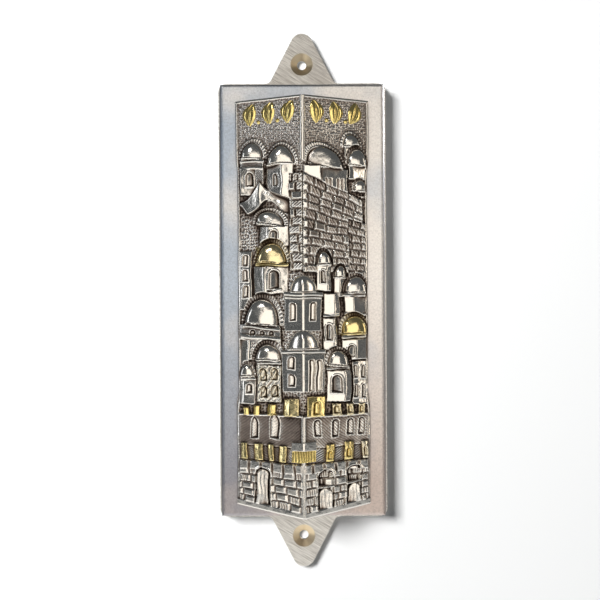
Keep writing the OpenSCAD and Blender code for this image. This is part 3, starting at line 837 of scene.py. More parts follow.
def bare_sheet(side, seed):
    across = np.linspace(0, 1, COLUMNS) if side > 0 else np.linspace(-1, 0, COLUMNS)
    up = np.linspace(0, 1, ROWS)[:, None]
    rough_z = POINT + up * (TOP - POINT)
    x = across[None, :] * cut_edge(rough_z, seed)
    low = bottom_edge(x)
    sheet = ChasedSheet(x, low + up * (TOP - low))
    sheet.h = 0.16 * cloud(sheet.x, sheet.z, 5.0, seed + 2)
    upper = smooth(sheet.z - 36, 3)
    beat(sheet, upper, 0.24, 0.56, seed + 3)
    beat(sheet, 1 - upper, 0.34, 0.8, seed + 4)
    return sheet


def finish_sheet(sheet, seed):
    """The rim along the outer edge, the smooth foot, and the marks that any hand leaves."""
    x, z = sheet.true_x, sheet.true_z
    in_from_edge = cut_edge(z, seed) - np.abs(x)
    rim = smooth(0.75 - in_from_edge, 0.25)
    sheet.lay(rim, 0.3 + 0.12 * cloud(x, z, 1.6, seed + 6) - 0.25 * smooth(0.25 - in_from_edge, 0.25))
    foot = z - bottom_edge(x)
    sheet.lay(smooth(1.75 - foot, 0.15), 0.95 - 0.3 * smooth(0.35 - foot, 0.35))
    sheet.h = sheet.h + 0.05 * (cloud(x, z, 1.1, seed + 7) - 0.5)
    crown = smooth(TOP - 0.55 - z, 0.15)
    sheet.h = sheet.h * crown + 0.3 * (1 - crown)


print(f"sheet grid: {ROWS} x {COLUMNS}")

# %% [markdown]
# ## Walls that both sheets share
# Two fortress walls run round the foot of the hill, and they meet at the ridge: a hatched wall, a strip
# for the turrets, and a base of dressed stone whose first course is bolder than the others.

# %% Walls that both sheets share
WALL_TOP = -31.2                # top of the upper wall, under its battlements
WALL_FOOT = -39.6               # foot of the upper wall, where the strip of turrets begins
BASE_TOP = -43.6                # top of the fortress base
EDGE = 18.4                     # how far out the walls run, up to the cut edge of the sheet
BASE_STONE = 3.1                # length of a stone of the base


def city_walls(sheet, side, seed):
    """The left walls are cut more lightly than the right ones. Their tarnish is the real crust in the cuts,
    and the extra tarnish on the left is painted shade, as the left slope mirrors the dim side of the room.
    """
    # painted shade: the left walls and base get more tarnish than the right ones, so the left slope reads
    # darker
    cut, wall_tarnish_and_shade, base_tarnish_and_shade = (0.06, 0.42, 0.2) if side < 0 else (0.14, 0.28, 0.12)
    dark = smooth(sheet.inside(-EDGE, EDGE, WALL_FOOT, WALL_TOP + 0.4), 0.2)
    sheet.lay(dark, 0.62)
    hatch(sheet, dark, CUT, 52 * side, cut, wall_tarnish_and_shade)
    moulding(sheet, side * 0.2, side * 18, WALL_TOP + 0.1, 0.95, 0.7)
    strip = smooth(sheet.inside(-EDGE, EDGE, BASE_TOP, WALL_FOOT), 0.2)
    sheet.lay(strip, 0.3)
    hatch(sheet, strip, 0.55, -58 * side, 0.16, 0.05)
    stones(sheet, 0, side * EDGE, lambda x: BASE_TOP, lambda x: bottom_edge(x) + 1.4, 6, BASE_STONE,
           1.0, seed, hatched=0.55, angle=8, tarnish=base_tarnish_and_shade, soft=0.35, flank=0.75, joint=0.3)
    first = smooth(sheet.inside(-EDGE, EDGE, BASE_TOP - 2.5, BASE_TOP), 0.15)
    from_joint = 0.5 - np.abs(((np.abs(sheet.x) + 0.6) / BASE_STONE) % 1 - 0.5)
    stone = smooth(from_joint - 0.04, 0.1)
    sheet.lay(first, 0.6 + 0.6 * stone, tarnish=-0.5 * (1 - stone))
    arris = smooth(0.75 - np.abs(sheet.true_x), 0.25) * (sheet.z < WALL_TOP)
    sheet.lay(arris, 0.95, tarnish=-0.1)


print(f"the upper wall is {WALL_TOP - WALL_FOOT:.1f} mm tall, the base {BASE_TOP - POINT:.1f} mm")

# %% [markdown]
# ## The left city, at the top
# The far houses come first: two domes, a roof that sweeps down to the right, and one more dome with a
# broad halo. Each house is a block, and its windows are punched last.

# %% The left city, at the top
left = bare_sheet(-1, 21)
# a small dome on its drum
dome(left, -13.6, 38.7, 3.1, 4.2, 1.5)
block(left, -17.1, -10.4, 28.4, 38.2, 0.75)
block(left, -17.1, -12.7, 28.4, 36, 1.7, tilt=-0.36)
moulding(left, -17.3, -10.2, 37.7, 1.25, 0.9)
moulding(left, -17.3, -10.4, 35.8, 1.2, 1.0, slope=0.02)
window(left, -14.4, 30.8, 2.2, 3.8, 0.4)
hatch(left, smooth(left.inside(-12.6, -10.4, 28.4, 35), 0.3), 0.5, 40, 0.14)
# a dome on a house that shows its corner
dome(left, -5.7, 36.4, 3.7, 4.7, 1.8)
block(left, -9.6, -2.4, 26.5, 36.1, 2.0, corner=-5.5, fall=0.42)
window(left, -7.3, 30.6, 1.2, 3.4, 0.2)
# the swept roof: dark on its left side, bright where it runs down to the right
past = left.x + 11.9            # to the right of the roof's crest
peak = np.where(past < 0, 25.6 + 6.6 * np.exp(past / 2.4), 26.2 + 6.0 * np.exp(-past / 5))
eave = 22.6 + 4.3 * np.exp(-((left.x + 9.2) / 3.4) ** 2) + 3 * smooth(-14.6 - left.x, 2.6)
reach = np.minimum(left.x + 17.3, -3.3 - left.x)
roof = smooth(np.minimum(np.minimum(peak - left.z, left.z - eave), reach), 0.2)
climb = np.clip((left.z - eave) / np.maximum(peak - eave, 0.1), 0, 1)
left.lay(roof, 2.1 - 0.4 * climb - 0.36 * smooth(past, 0.8) * past)
dome(left, -8.6, 20.6, 3.7, 3.3, 1.5, lean=-0.12, halo=1.3)
block(left, -11.5, -3.7, 14.4, 20.0, 2.5, corner=-9.6, fall=0.4)
window(left, -7.9, 15.6, 2.2, 3.4, 0.4)
print(f"left hill, upper houses: {left.h.min():.2f} to {left.h.max():.2f} mm")

# %% [markdown]
# ## The left city, in the middle
# One dome is gilt, and its gold has crept a little over the ground beside it. Below it stands the
# great dome on its palace, with two long bands of moulding and a row of small holes.

# %% The left city, in the middle
# the gilt dome
dome(left, -8.3, 10.2, 4.1, 5.2, 2.0, gilt=0.6, halo=1.1)
moulding(left, -12.8, -3.8, 9.6, 1.7, 0.9, gilt=0.75)
left.gild(smooth(left.inside(-13.2, -11.2, 9.4, 15), 1.0), 0.75)
block(left, -13.1, -3.9, 1.6, 9.1, 2.8, corner=-10.5, fall=0.4)
window(left, -7.6, 3.0, 3.0, 5.2, 0.5)
moulding(left, -9.6, -5.4, 2.6, 1.5, 0.6)
# the wall with slots
block(left, -17.4, -13.8, -2.6, 13.6, 0.6)
for z in (9.3, 5.1, 0.9):
    window(left, -15.6, z, 1.5, 3.3, 0.3)
# the great dome and its palace
dome(left, -10.9, -6.4, 4.7, 6.9, 2.2, halo=1.3)
block(left, -17.6, -6.1, -16.2, -6.6, 0.9)
moulding(left, -16.6, -6.1, -7.4, 1.65, 1.0, slope=-0.06)
moulding(left, -17.2, -6.1, -10.1, 1.5, 1.3, slope=-0.05)
for x in (-13.6, -11.1, -8.6):
    window(left, x, -9.6, 1.5, 1.5, 0.1)
block(left, -17.6, -14.6, -20, -10.8, 1.1, corner=-15.0, fall=0.5)
beat(left, smooth(left.inside(-14.4, -6.2, -16.4, -11), 0.4), 0.3, 0.7, 31)
# a dome on a carved house
dome(left, -9.3, -15.9, 3.4, 3.9, 1.7, halo=1.2)
moulding(left, -12.6, -6.0, -16.9, 1.4, 0.8, slope=0.05)
block(left, -12.7, -6.0, -27.4, -17.4, 1.0, gilt=0.12)
hatch(left, smooth(left.inside(-12.4, -6.3, -27.2, -17.6), 0.3), 1.3, -38, 0.22, 0.22)
for x, z in ((-10.9, -21.6), (-7.9, -21.4), (-10.7, -26.2), (-7.7, -26.0)):
    window(left, x, z, 2.0, 3.4, 0.25, gilt=0.22)
# a small dome on a tower
dome(left, -15.3, -20.4, 1.9, 3.1, 1.3, halo=0.6)
block(left, -17.5, -13.0, -28.2, -20.8, 1.05, corner=-16.1, fall=0.3)
moulding(left, -17.5, -13.0, -21.3, 1.3, 0.8)
window(left, -14.7, -25.2, 1.6, 2.6, 0.3)
print(f"left hill, lower houses: {left.h.min():.2f} to {left.h.max():.2f} mm")

# %% [markdown]
# ## The left city, at its foot
# The battlements and the turrets are small gilt blocks that show their corners, so each one flashes on
# one side. The keep belongs to the right sheet, but its flank comes round the ridge.

# %% The left city, at its foot
KEEP_ROWS = 11                  # courses of stone in the keep, on both sides of the ridge
# the walls, their battlements and the gate
city_walls(left, -1, 23)
for x, w, z in ((-15.8, 1.7, -28.9), (-12.6, 1.9, -28.3), (-8.6, 2.3, -27.9)):
    block(left, x - w / 2, x + w / 2, WALL_TOP, z, 1.35, corner=x - 0.3, fall=0.5, gilt=0.9)
block(left, -5.4, -1.2, WALL_TOP, -26.4, 1.5, corner=-3.8, fall=0.3, gilt=0.7)
window(left, -13.3, -37.6, 2.3, 5.0, 0.25, pointed=True)
window(left, -7.9, -37.2, 2.8, 5.4, 0.25, pointed=True)
for x, w in ((-16.2, 2.0), (-12.2, 2.4), (-8.8, 1.6), (-5.6, 2.2)):
    block(left, x - w / 2, x + w / 2, BASE_TOP + 0.2, -38.9, 1.25, corner=x, fall=0.3, gilt=0.75)
window(left, -11.2, -55.2, 4.3, 10.0, 0.5)
panel(left, -11.2, -55.2, 3.4, 9.5, 0.7)
# the keep's flank, left of the ridge
stones(left, -3.5, 0, lambda x: 33.8, lambda x: 8.0, KEEP_ROWS, 3.4, 1.25, 41, hatched=0.8, swell=0.6,
       angle=-50, tarnish=0.3, flank=0.4)
window(left, -1.6, 31.5, 1.2, 1.9, 0.3)
finish_sheet(left, 21)
print(f"left sheet: {left.h.min():.2f} to {left.h.max():.2f} mm")

# %% [markdown]
# ## The right city, at the top
# A broad dome stands behind the keep, and three small ones sit at the edge of the sheet. The keep is
# the largest wall of the city, and its corner stones are left bright along the ridge.

# %% The right city, at the top
right = bare_sheet(1, 51)
# the broad dome behind the keep, on a house that shows its corner
dome(right, 6.0, 35.6, 4.9, 5.2, 1.5, lean=-0.28, halo=1.3)
block(right, 4.9, 12.2, 27.4, 35.2, 1.4)
for x in (6.4, 7.5, 9.6, 10.7):
    window(right, x, 29.6, 0.7, 3.4, 0.1)
block(right, 0.3, 5.1, 30.4, 36.0, 0.5, tilt=0.44)
# three small domes at the edge
dome(right, 13.2, 41.6, 2.3, 3.3, 1.2, halo=0.8)
block(right, 11.3, 14.4, 38.4, 41.0, 0.8, corner=11.8, fall=0.25)
dome(right, 14.9, 36.6, 2.7, 4.4, 1.6, halo=0.7, lean=-0.1)
block(right, 12.4, 17.4, 32.8, 36.4, 1.1, corner=13.6, fall=0.12)
dome(right, 15.6, 29.9, 1.9, 2.9, 1.2, halo=0.5)
beat(right, smooth(right.inside(13.9, 18.2, 12, 30), 0.8), 0.5, 0.95, 61)
# the keep of dressed stone
stones(right, 0, 16.4, lambda x: 34.0 - 0.42 * x, lambda x: 7.4, KEEP_ROWS, 3.1, 1.3, 63, hatched=0.9,
       angle=30, tarnish=0.4)
stones(right, 12.4, 18.2, lambda x: 24.5 - 0.2 * x, lambda x: 6.0, 8, 2.4, 0.9, 64, hatched=0.9,
       angle=30, tarnish=0.4, flank=0.45)
for k in range(KEEP_ROWS):
    foot = 31.3 - 2.42 * k
    block(right, 0.15, 1.1 + 0.4 * (k % 2), foot + 0.2, foot + 2.0, 1.15, edge=0.3, tilt=0.45)
print(f"right hill and keep: {right.h.min():.2f} to {right.h.max():.2f} mm")

# %% [markdown]
# ## The right city, in the middle
# Under the keep, narrow turrets stand close together. Each is a bright face and a dark face, and the
# steps between them throw the deepest shadows of the sheet.

# %% The right city, in the middle
# turrets under the keep
dome(right, 5.6, 9.9, 1.9, 3.1, 1.5, halo=0.6)
block(right, 3.6, 7.5, 2.4, 9.4, 2.1, corner=6.4, fall=0.42)
window(right, 5.4, 4.6, 1.4, 3.6, 0.35)
dome(right, 9.9, 6.4, 1.7, 3.0, 1.5, halo=0.4)
block(right, 8.2, 11.6, 0.6, 6.0, 1.6, corner=9.9, fall=0.5)
block(right, 5.4, 9.9, -4.4, 1.9, 2.0, corner=8.4, fall=0.42)
moulding(right, 5.4, 9.9, -4.2, 1.4, 0.7)
block(right, 5.4, 9.0, -13.4, -4.7, 1.9, corner=8.3, fall=0.42)
window(right, 7.1, -10.8, 1.7, 4.6, 0.4)
# a round tower with a dome
dome(right, 14.3, 1.9, 3.2, 4.6, 1.8, halo=0.8)
block(right, 11.1, 17.4, -4.4, 1.6, 1.9, corner=13.6, fall=0.45)
moulding(right, 11.0, 17.5, 1.1, 1.6, 0.9)
moulding(right, 11.0, 17.5, -4.0, 1.4, 0.8)
# the gilt dome and its house
dome(right, 13.9, -9.0, 3.7, 4.5, 1.9, gilt=0.8, halo=1.0)
moulding(right, 10.1, 17.9, -9.9, 1.6, 1.0, gilt=0.15)
block(right, 10.2, 17.8, -16.2, -10.5, 2.3, corner=14.6, fall=0.42)
window(right, 12.9, -15.4, 2.2, 3.4, 0.35)
# a dome on a house with an arched window
dome(right, 9.4, -17.3, 3.0, 3.8, 1.7, halo=1.0, lean=-0.08)
moulding(right, 6.2, 12.9, -18.2, 1.5, 0.8)
block(right, 6.3, 12.9, -27.4, -18.7, 2.5, corner=11.2, fall=0.42)
window(right, 9.0, -24.8, 2.8, 4.9, 0.45)
# the far wall with slots
block(right, 13.3, 17.8, -28.4, -16.6, 0.85, corner=15.0, fall=0.12)
for x, z in ((14.3, -21.2), (16.5, -21.4), (14.3, -26.4), (16.5, -26.6)):
    window(right, x, z, 1.2, 3.6, 0.25)
print(f"right hill, lower houses: {right.h.min():.2f} to {right.h.max():.2f} mm")

# %% [markdown]
# ## The right city, at its foot
# The right wall has more windows than the left one, and two gates with a blind arch over each.

# %% The right city, at its foot
# the walls, their battlements and two gates
city_walls(right, 1, 53)
block(right, 0.9, 6.0, WALL_TOP, -25.6, 1.25, corner=3.2, fall=0.15, gilt=0.85)
window(right, 3.4, -30.6, 1.8, 3.6, 0.3, gilt=0.85)
for x, w in ((9.0, 2.5), (12.6, 2.2), (16.0, 2.0)):
    block(right, x - w / 2, x + w / 2, WALL_TOP, -27.9, 1.2, corner=x, fall=0.25, gilt=0.45)
    window(right, x, -30.6, 0.7 * w, 2.2, 0.15, gilt=0.45)
for x in (3.8, 8.6, 12.6, 15.9):
    window(right, x, -36.6, 1.9, 4.6, 0.3)
for x, w, gold in ((7.2, 2.3, 0.9), (12.2, 2.6, 0.85), (16.8, 2.2, 0.3)):
    block(right, x - w / 2, x + w / 2, BASE_TOP + 0.2, -38.4, 1.3, corner=x, fall=0.3, gilt=gold)
    window(right, x, BASE_TOP + 0.9, 0.55 * w, 2.6, 0.2, gilt=gold)
for x, foot, tall in ((5.9, -56.0, 10.6), (13.8, -55.2, 10.4)):
    window(right, x, foot, 4.4, tall, 0.45)
    panel(right, x, foot, 3.6, 0.55 * tall, 0.75)
    moulding(right, x - 2.3, x + 2.3, foot + 0.58 * tall, 1.25, 0.55, slope=0.1)
finish_sheet(right, 51)
print(f"right sheet: {right.h.min():.2f} to {right.h.max():.2f} mm")

# %% [markdown]
# ## Solder the sheets on
# The inner face follows the slope at the thickness of the sheet, but it never comes in front of the
# frame, because the sheet's outer edge is filed flat to sit on it.

# %% Make both sheets
FILED = 0.02                    # play between the filed edge and the frame's face


def inner_face(x):
    return np.minimum(surface(np.abs(x)) + SHEET_BACK, -FACE - FILED)


left_sheet = closed_sheet("left_chased_sheet", left, inner_face)
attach(left_sheet, "case")
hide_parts("left_relief")
right_sheet = closed_sheet("right_chased_sheet", right, inner_face)
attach(right_sheet, "case")
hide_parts("right_relief")

# %% [markdown]
# ## Castings on the ridge
# The two towers and the turret cross the ridge, where a sheet would tear under the hammer, so they
# were cast and soldered on. The same grid of heights draws them, folded round the ridge, and what
# lies outside their outline sinks just behind the sheets.

# %% A casting
GRAIN = 0.1                     # grid step of a casting
SUNK = 0.5                      # how far its ground lies behind the face of the sheets
KEEL_DEPTH = 0.55               # how far its back lies behind that face


def blank_casting(half, z0, z1):
    columns = 2 * int(half / GRAIN) + 1
    rows = int((z1 - z0) / GRAIN) + 1
    x, z = np.meshgrid(np.linspace(-half, half, columns), np.linspace(z0, z1, rows))
    casting = ChasedSheet(x, z)
    casting.h[:] = -SUNK
    return casting


def keel_face(x):
    return surface(x) + KEEL_DEPTH


def cast_piece(name, casting, node):
    piece = closed_sheet(name, casting, keel_face, keel=True)
    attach(piece, "case")
    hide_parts(node)


print(f"castings are drawn on a grid of {GRAIN} mm")

# %% [markdown]
# ## The two towers and the turret
# Each tower is a house with a dome, seen corner-on. Their flat faces mirror the dim sides of the room,
# while the rubbed corner, the windows and the domes catch the card.

# %% The two towers and the turret
def upper_tower():
    t = blank_casting(5.5, -8.6, 8.0)
    dome(t, 0, 2.2, 3.6, 4.7, 2.1, halo=0)
    block(t, -5.0, 5.0, -8.2, 1.0, 1.45)
    moulding(t, -5.3, 5.3, 1.5, 2.1, 1.2)
    moulding(t, -4.9, 4.9, 0.6, 1.8, 0.6)
    for side in (-1, 1):
        window(t, 2.7 * side, -5.4, 1.7, 4.8, 0.15)
    return t


def lower_tower():
    t = blank_casting(6.2, -24.7, -6.9)
    dome(t, 0, -12.8, 4.2, 5.0, 2.2, halo=0)
    block(t, -5.7, 5.7, -24.4, -14.2, 1.6)
    moulding(t, -6.0, 6.0, -13.7, 2.1, 1.1)
    for z in (-18.3, -22.9):
        window(t, -3.1, z, 1.9, 3.4, 0.15)
    for x in (2.2, 4.2):
        window(t, x, -24.1, 1.5, 8.4, 0.12)
    return t


def corner_turret():
    t = blank_casting(3.8, -43.6, -37.3)
    block(t, -3.2, 3.2, -43.3, -39.9, 1.25, gilt=0.95)
    hatch(t, smooth(t.inside(-3.1, 3.1, -43.2, -40.2), 0.2), 0.7, 0, 0.22)
    block(t, -3.5, 3.5, -40.2, -37.7, 1.75)
    return t


cast_piece("upper_tower_casting", upper_tower(), "upper_tower")
cast_piece("lower_tower_casting", lower_tower(), "lower_tower")
cast_piece("corner_turret_casting", corner_turret(), "corner_turret")

# %% [markdown]
# ## Pieces that follow a rule
# The leaves of the top border repeat along a line, the wire on the ridge follows a path, and the
# parchment is a spiral: each follows a rule, so each is a Geometry Nodes tree with its sizes as named
# inputs. The tree runs once, on an empty mesh, and its result is kept as a plain mesh, because a
# finished piece has to be a mesh of its own when the bodies move.

# %% Helpers for grown pieces
KINDS = {"count": "NodeSocketInt", "beads": "NodeSocketInt", "seed": "NodeSocketInt",
         "leaf": "NodeSocketObject", "finish": "NodeSocketMaterial", "start": "NodeSocketVector",
         "step": "NodeSocketVector", "bead_start": "NodeSocketVector", "middle": "NodeSocketVector"}


def new_tree(name, *inputs):
    """A tree with one geometry output, and a float input for each size that isn't listed in KINDS."""
    tree = bpy.data.node_groups.new(name, "GeometryNodeTree")
    tree.interface.new_socket("geometry", in_out="OUTPUT", socket_type="NodeSocketGeometry")
    for label in inputs:
        tree.interface.new_socket(label, in_out="INPUT", socket_type=KINDS.get(label, "NodeSocketFloat"))
    return tree, add(tree, "NodeGroupInput").outputs


def close_tree(tree, shape, finish):
    whole = add(tree, "GeometryNodeRealizeInstances", links={"Geometry": shape})
    dressed = add(tree, "GeometryNodeSetMaterial", links={"Geometry": whole.outputs[0], "Material": finish})
    add(tree, "NodeGroupOutput", links={0: dressed.outputs[0]})


def grown_piece(name, tree, sizes):
    ground = bpy.data.objects.new(name + "_ground", bpy.data.meshes.new(name + "_ground"))
    bpy.context.scene.collection.objects.link(ground)
    modifier = ground.modifiers.new("grow", "NODES")
    modifier.node_group = tree
    for item in tree.interface.items_tree:
        if item.in_out == "INPUT":
            modifier[item.identifier] = sizes[item.name]
    done = ground.evaluated_get(bpy.context.evaluated_depsgraph_get())
    piece = bpy.data.objects.new(name, bpy.data.meshes.new_from_object(done))
    bpy.data.objects.remove(ground)
    bpy.context.scene.collection.objects.link(piece)
    places = np.array([v.co for v in piece.data.vertices]) / MM
    print(f"{name}: {len(piece.data.polygons)} faces, {np.round(np.ptp(places, axis=0), 1)} mm")
    return piece


print("inputs that aren't plain sizes:", ", ".join(KINDS))


# %% [markdown]
# ## One leaf
# A leaf is a round ball of gold pressed flat: its width shrinks towards both tips, its middle is
# grooved for the rib, fine veins run off the rib, and it bends a little to one side. It is drawn once
# as a closed mesh with the same depth and gilding maps as the sheets.

# %% One leaf
LEAF_FOOT = 47.2                # height of the leaves' feet
LEAF_TALL = 6.6
LEAF_WIDE = 3.9
LEAF_THICK = 0.75
LEAF_BEND = 0.13                # how far its tips lean to one side, of its height
AROUND, RINGS = 28, 18          # steps round a leaf, and from foot to tip


def leaf_pattern(name, side):
    up = np.sin(np.linspace(-math.pi / 2, math.pi / 2, RINGS + 1))[1:-1, None]
    turn = np.linspace(0, 2 * math.pi, AROUND, endpoint=False)[None, :]
    ring = np.sqrt(1 - up ** 2)
    x, y = ring * np.cos(turn), ring * np.sin(turn)
    rib = np.exp(-38 * x ** 2)
    veins = np.abs(np.sin(11 * up - 5 * np.abs(x)))
    groove = ring * (0.55 * rib - 0.14 * veins)
    bend = -LEAF_BEND * side * LEAF_TALL
    across = 0.56 * LEAF_WIDE * ring * x + bend * up ** 2
    points = np.stack([across, LEAF_THICK * (y + groove), LEAF_TALL / 2 * up + 0 * x], axis=-1)
    tips = [[bend, 0, -LEAF_TALL / 2], [bend, 0, LEAF_TALL / 2]]
    points = np.concatenate([points.reshape(-1, 3), tips]) * MM
    last = (RINGS - 2) * AROUND
    faces = []
    for j in range(AROUND):
        k = (j + 1) % AROUND
        faces += [(i + j, i + k, i + AROUND + k, i + AROUND + j) for i in range(0, last, AROUND)]
        faces += [(last + AROUND, k, j), (last + AROUND + 1, last + j, last + k)]
    mesh = bpy.data.meshes.new(name)
    mesh.from_pydata(points.tolist(), [], faces)
    worn = np.append((0.9 * groove + 0.25 * y + 0.32).reshape(-1), [0.2, 0.2]).astype(np.float32)
    mesh.attributes.new("hollow", "FLOAT", "POINT").data.foreach_set("value", worn)
    print(f"{name}: {len(faces)} faces")
    return bpy.data.objects.new(name, mesh)


# %% [markdown]
# ## The gilt leaves
# A row of leaves with beads between them runs along the top border of each sheet. The tree sets them
# along the slope of the sheet, and leans each one by its own small random angle, as hand-laid work
# does. The leaf is its own input, so another pattern could be laid in the same way.

# %% Rows of leaves
LEAVES = 3                      # on each sheet
FIRST = 3.9                     # distance of the first leaf from the ridge
STEP = 5.2                      # from one leaf to the next
DROP_R = 0.65                   # radius of the round drops between the leaves
SLOPE = math.atan(RISE / HALF_W)


def leaf_tree():
    tree, size = new_tree("leaf_row", "count", "beads", "start", "bead_start", "step", "slope", "seed",
                          "leaf", "finish")
    row = add(tree, "GeometryNodeMeshLine", links={
        "Count": size["count"], "Start Location": size["start"], "Offset": size["step"]})
    lean = add(tree, "FunctionNodeRandomValue", {2: -0.3, 3: 0.3}, {"Seed": size["seed"]},
               data_type="FLOAT")
    turn = add(tree, "ShaderNodeCombineXYZ", links={"Y": lean.outputs[1], "Z": size["slope"]})
    pattern = add(tree, "GeometryNodeObjectInfo", links={"Object": size["leaf"]})
    leaves = add(tree, "GeometryNodeInstanceOnPoints", links={
        "Points": row.outputs["Mesh"], "Instance": pattern.outputs["Geometry"],
        "Rotation": turn.outputs[0]})
    gaps = add(tree, "GeometryNodeMeshLine", links={
        "Count": size["beads"], "Start Location": size["bead_start"], "Offset": size["step"]})
    bead = add(tree, "GeometryNodeMeshIcoSphere", {"Radius": DROP_R * MM, "Subdivisions": 3})
    beads = add(tree, "GeometryNodeInstanceOnPoints", links={
        "Points": gaps.outputs["Mesh"], "Instance": bead.outputs["Mesh"]})
    both = add(tree, "GeometryNodeJoinGeometry", links={0: leaves.outputs[0]})
    tree.links.new(beads.outputs[0], both.inputs[0])
    real = add(tree, "GeometryNodeRealizeInstances", links={0: both.outputs[0]})
    gold = add(tree, "GeometryNodeStoreNamedAttribute", {"Name": "gilt", "Value": 0.95},
               {"Geometry": real.outputs[0]}, data_type="FLOAT", domain="POINT")
    soft = add(tree, "GeometryNodeSetShadeSmooth", links={"Geometry": gold.outputs[0]})
    close_tree(tree, soft.outputs[0], size["finish"])
    return tree


leaf_row = leaf_tree()
for side, word, seed in ((-1, "left", 3), (1, "right", 8)):
    pattern = leaf_pattern(f"{word}_leaf_pattern", side)
    height = (LEAF_FOOT + LEAF_TALL / 2) * MM
    step = np.array([side * STEP * MM, STEP * math.tan(SLOPE) * MM, 0])
    start = np.array([side * FIRST * MM, (FIRST * math.tan(SLOPE) - RIDGE) * MM, height])
    leaves = grown_piece(f"{word}_gilt_leaves", leaf_row, {
        "count": LEAVES, "beads": LEAVES - 1, "start": start.tolist(), "step": step.tolist(),
        "bead_start": (start + step / 2 - [0, 0, 0.34 * LEAF_TALL * MM]).tolist(), "slope": side * SLOPE,
        "seed": seed, "leaf": pattern, "finish": chased})
    bpy.data.objects.remove(pattern)
    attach(leaves, "case")

# %% [markdown]
# ## The wire on the ridge
# Above the tallest dome the joint of the two sheets is covered by a soldered wire. The hammer that
# set it left it a little uneven, so the tree sweeps a circle along the ridge and then pushes the
# surface about with a noise field.

# %% Ridge wire
wire_low, wire_high = corners_mm("ridge_bead")


def wire_tree():
    tree, size = new_tree("ridge_wire", "foot", "head", "distance", "radius", "dents", "finish")
    ends = [add(tree, "ShaderNodeCombineXYZ", links={"Y": size["distance"], "Z": size[end]}).outputs[0]
            for end in ("foot", "head")]
    path = add(tree, "GeometryNodeCurvePrimitiveLine", links={"Start": ends[0], "End": ends[1]})
    fine = add(tree, "GeometryNodeResampleCurve", {"Count": 90}, {"Curve": path.outputs[0]})
    ring = add(tree, "GeometryNodeCurvePrimitiveCircle", {"Resolution": 24}, {"Radius": size["radius"]})
    wire = add(tree, "GeometryNodeCurveToMesh", {"Fill Caps": True},
               {"Curve": fine.outputs[0], "Profile Curve": ring.outputs[0]})
    field = add(tree, "ShaderNodeTexNoise", {"Scale": 1 / (1.6 * MM), "Detail": 2.0})
    push = add(tree, "ShaderNodeVectorMath", {1: (0.5, 0.5, 0.5)}, {0: field.outputs["Color"]},
               operation="SUBTRACT")
    far = add(tree, "ShaderNodeVectorMath", links={0: push.outputs[0], "Scale": size["dents"]},
              operation="SCALE")
    dented = add(tree, "GeometryNodeSetPosition", links={
        "Geometry": wire.outputs[0], "Offset": far.outputs[0]})
    worn = add(tree, "GeometryNodeStoreNamedAttribute", {"Name": "hollow", "Value": 0.12},
               {"Geometry": dented.outputs[0]}, data_type="FLOAT", domain="POINT")
    soft = add(tree, "GeometryNodeSetShadeSmooth", links={"Geometry": worn.outputs[0]})
    close_tree(tree, soft.outputs[0], size["finish"])
    return tree


wire = grown_piece("ridge_wire", wire_tree(), {
    "foot": wire_low[2] * MM, "head": (wire_high[2] - 0.15) * MM, "distance": (0.2 - RIDGE) * MM,
    "radius": 0.8 * MM, "dents": 0.18 * MM, "finish": chased})
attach(wire, "case")
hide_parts("ridge_bead")

# %% [markdown]
# ## Parchment
# Parchment is scraped and stretched skin: creamy, mottled, with the dots of the hair side, and it lets
# a little light in. Noise makes the mottling, the cells of a Voronoi pattern make the dots, and a
# little subsurface light softens its edges.

# %% Parchment
def parchment_skin():
    # creamy skin with soft mottling and the dots of the hair side
    material, tree, skin, place = new_material("goatskin_parchment")
    mottle = add(tree, "ShaderNodeTexNoise", {"Scale": 1 / (7 * MM), "Detail": 5.0}, {"Vector": place})
    tint = add(tree, "ShaderNodeValToRGB", links={"Fac": mottle.outputs["Fac"]})
    pores = add(tree, "ShaderNodeTexVoronoi", {"Scale": 1 / (0.7 * MM)}, {"Vector": place})
    dots = add(tree, "ShaderNodeMapRange", {"From Min": 0.1, "From Max": 0.28},
               {"Value": pores.outputs["Distance"]})
    rough = add(tree, "ShaderNodeMapRange", {"To Min": 0.56, "To Max": 0.68},
                {"Value": mottle.outputs["Fac"]})
    relief = add(tree, "ShaderNodeBump", {"Strength": 0.5, "Distance": 0.04 * MM},
                 {"Height": dots.outputs["Result"]})
    skin.inputs["Subsurface Weight"].default_value = 0.15
    skin.inputs["Subsurface Radius"].default_value = (0.001, 0.0007, 0.0004)
    dress(tree, skin, stops(tint, (0.35, "#CDB98C"), (0.62, "#EBDFC2")), rough.outputs["Result"],
          relief.outputs["Normal"], metallic=0.0)
    return material


skin_finish = parchment_skin()
print("made", skin_finish.name)

# %% [markdown]
# ## The rolled scroll
# The parchment is rolled from its left edge to its right one. Seen from its end, it is a spiral, so
# the tree sweeps a thin upright strip along a flat spiral. It is drawn thicker than a real skin, so
# that its turns can be told apart.

# %% The rolled scroll
roll_low, roll_high = corners_mm("parchment_scroll")
ROLL_R = (roll_high[0] - roll_low[0]) / 2
ROLL_Y = (roll_high[1] + roll_low[1]) / 2
ROLL_Z = (roll_high[2] + roll_low[2]) / 2
SKIN_T = 0.32                   # thickness of the skin
CORE_R = 1.25                   # radius of the innermost turn
TURNS = 7.0


def scroll_tree():
    tree, size = new_tree("rolled_strip", "turns", "core", "outer", "thick", "tall", "middle", "finish")
    spiral = add(tree, "GeometryNodeCurveSpiral", {"Resolution": 40, "Height": 0.0}, {
        "Rotations": size["turns"], "Start Radius": size["core"], "End Radius": size["outer"]})
    strip = add(tree, "GeometryNodeCurvePrimitiveQuadrilateral", links={
        "Width": size["thick"], "Height": size["tall"]})
    sheet = add(tree, "GeometryNodeCurveToMesh", {"Fill Caps": True},
                {"Curve": spiral.outputs[0], "Profile Curve": strip.outputs[0]})
    moved = add(tree, "GeometryNodeSetPosition", links={
        "Geometry": sheet.outputs[0], "Offset": size["middle"]})
    close_tree(tree, moved.outputs[0], size["finish"])
    return tree


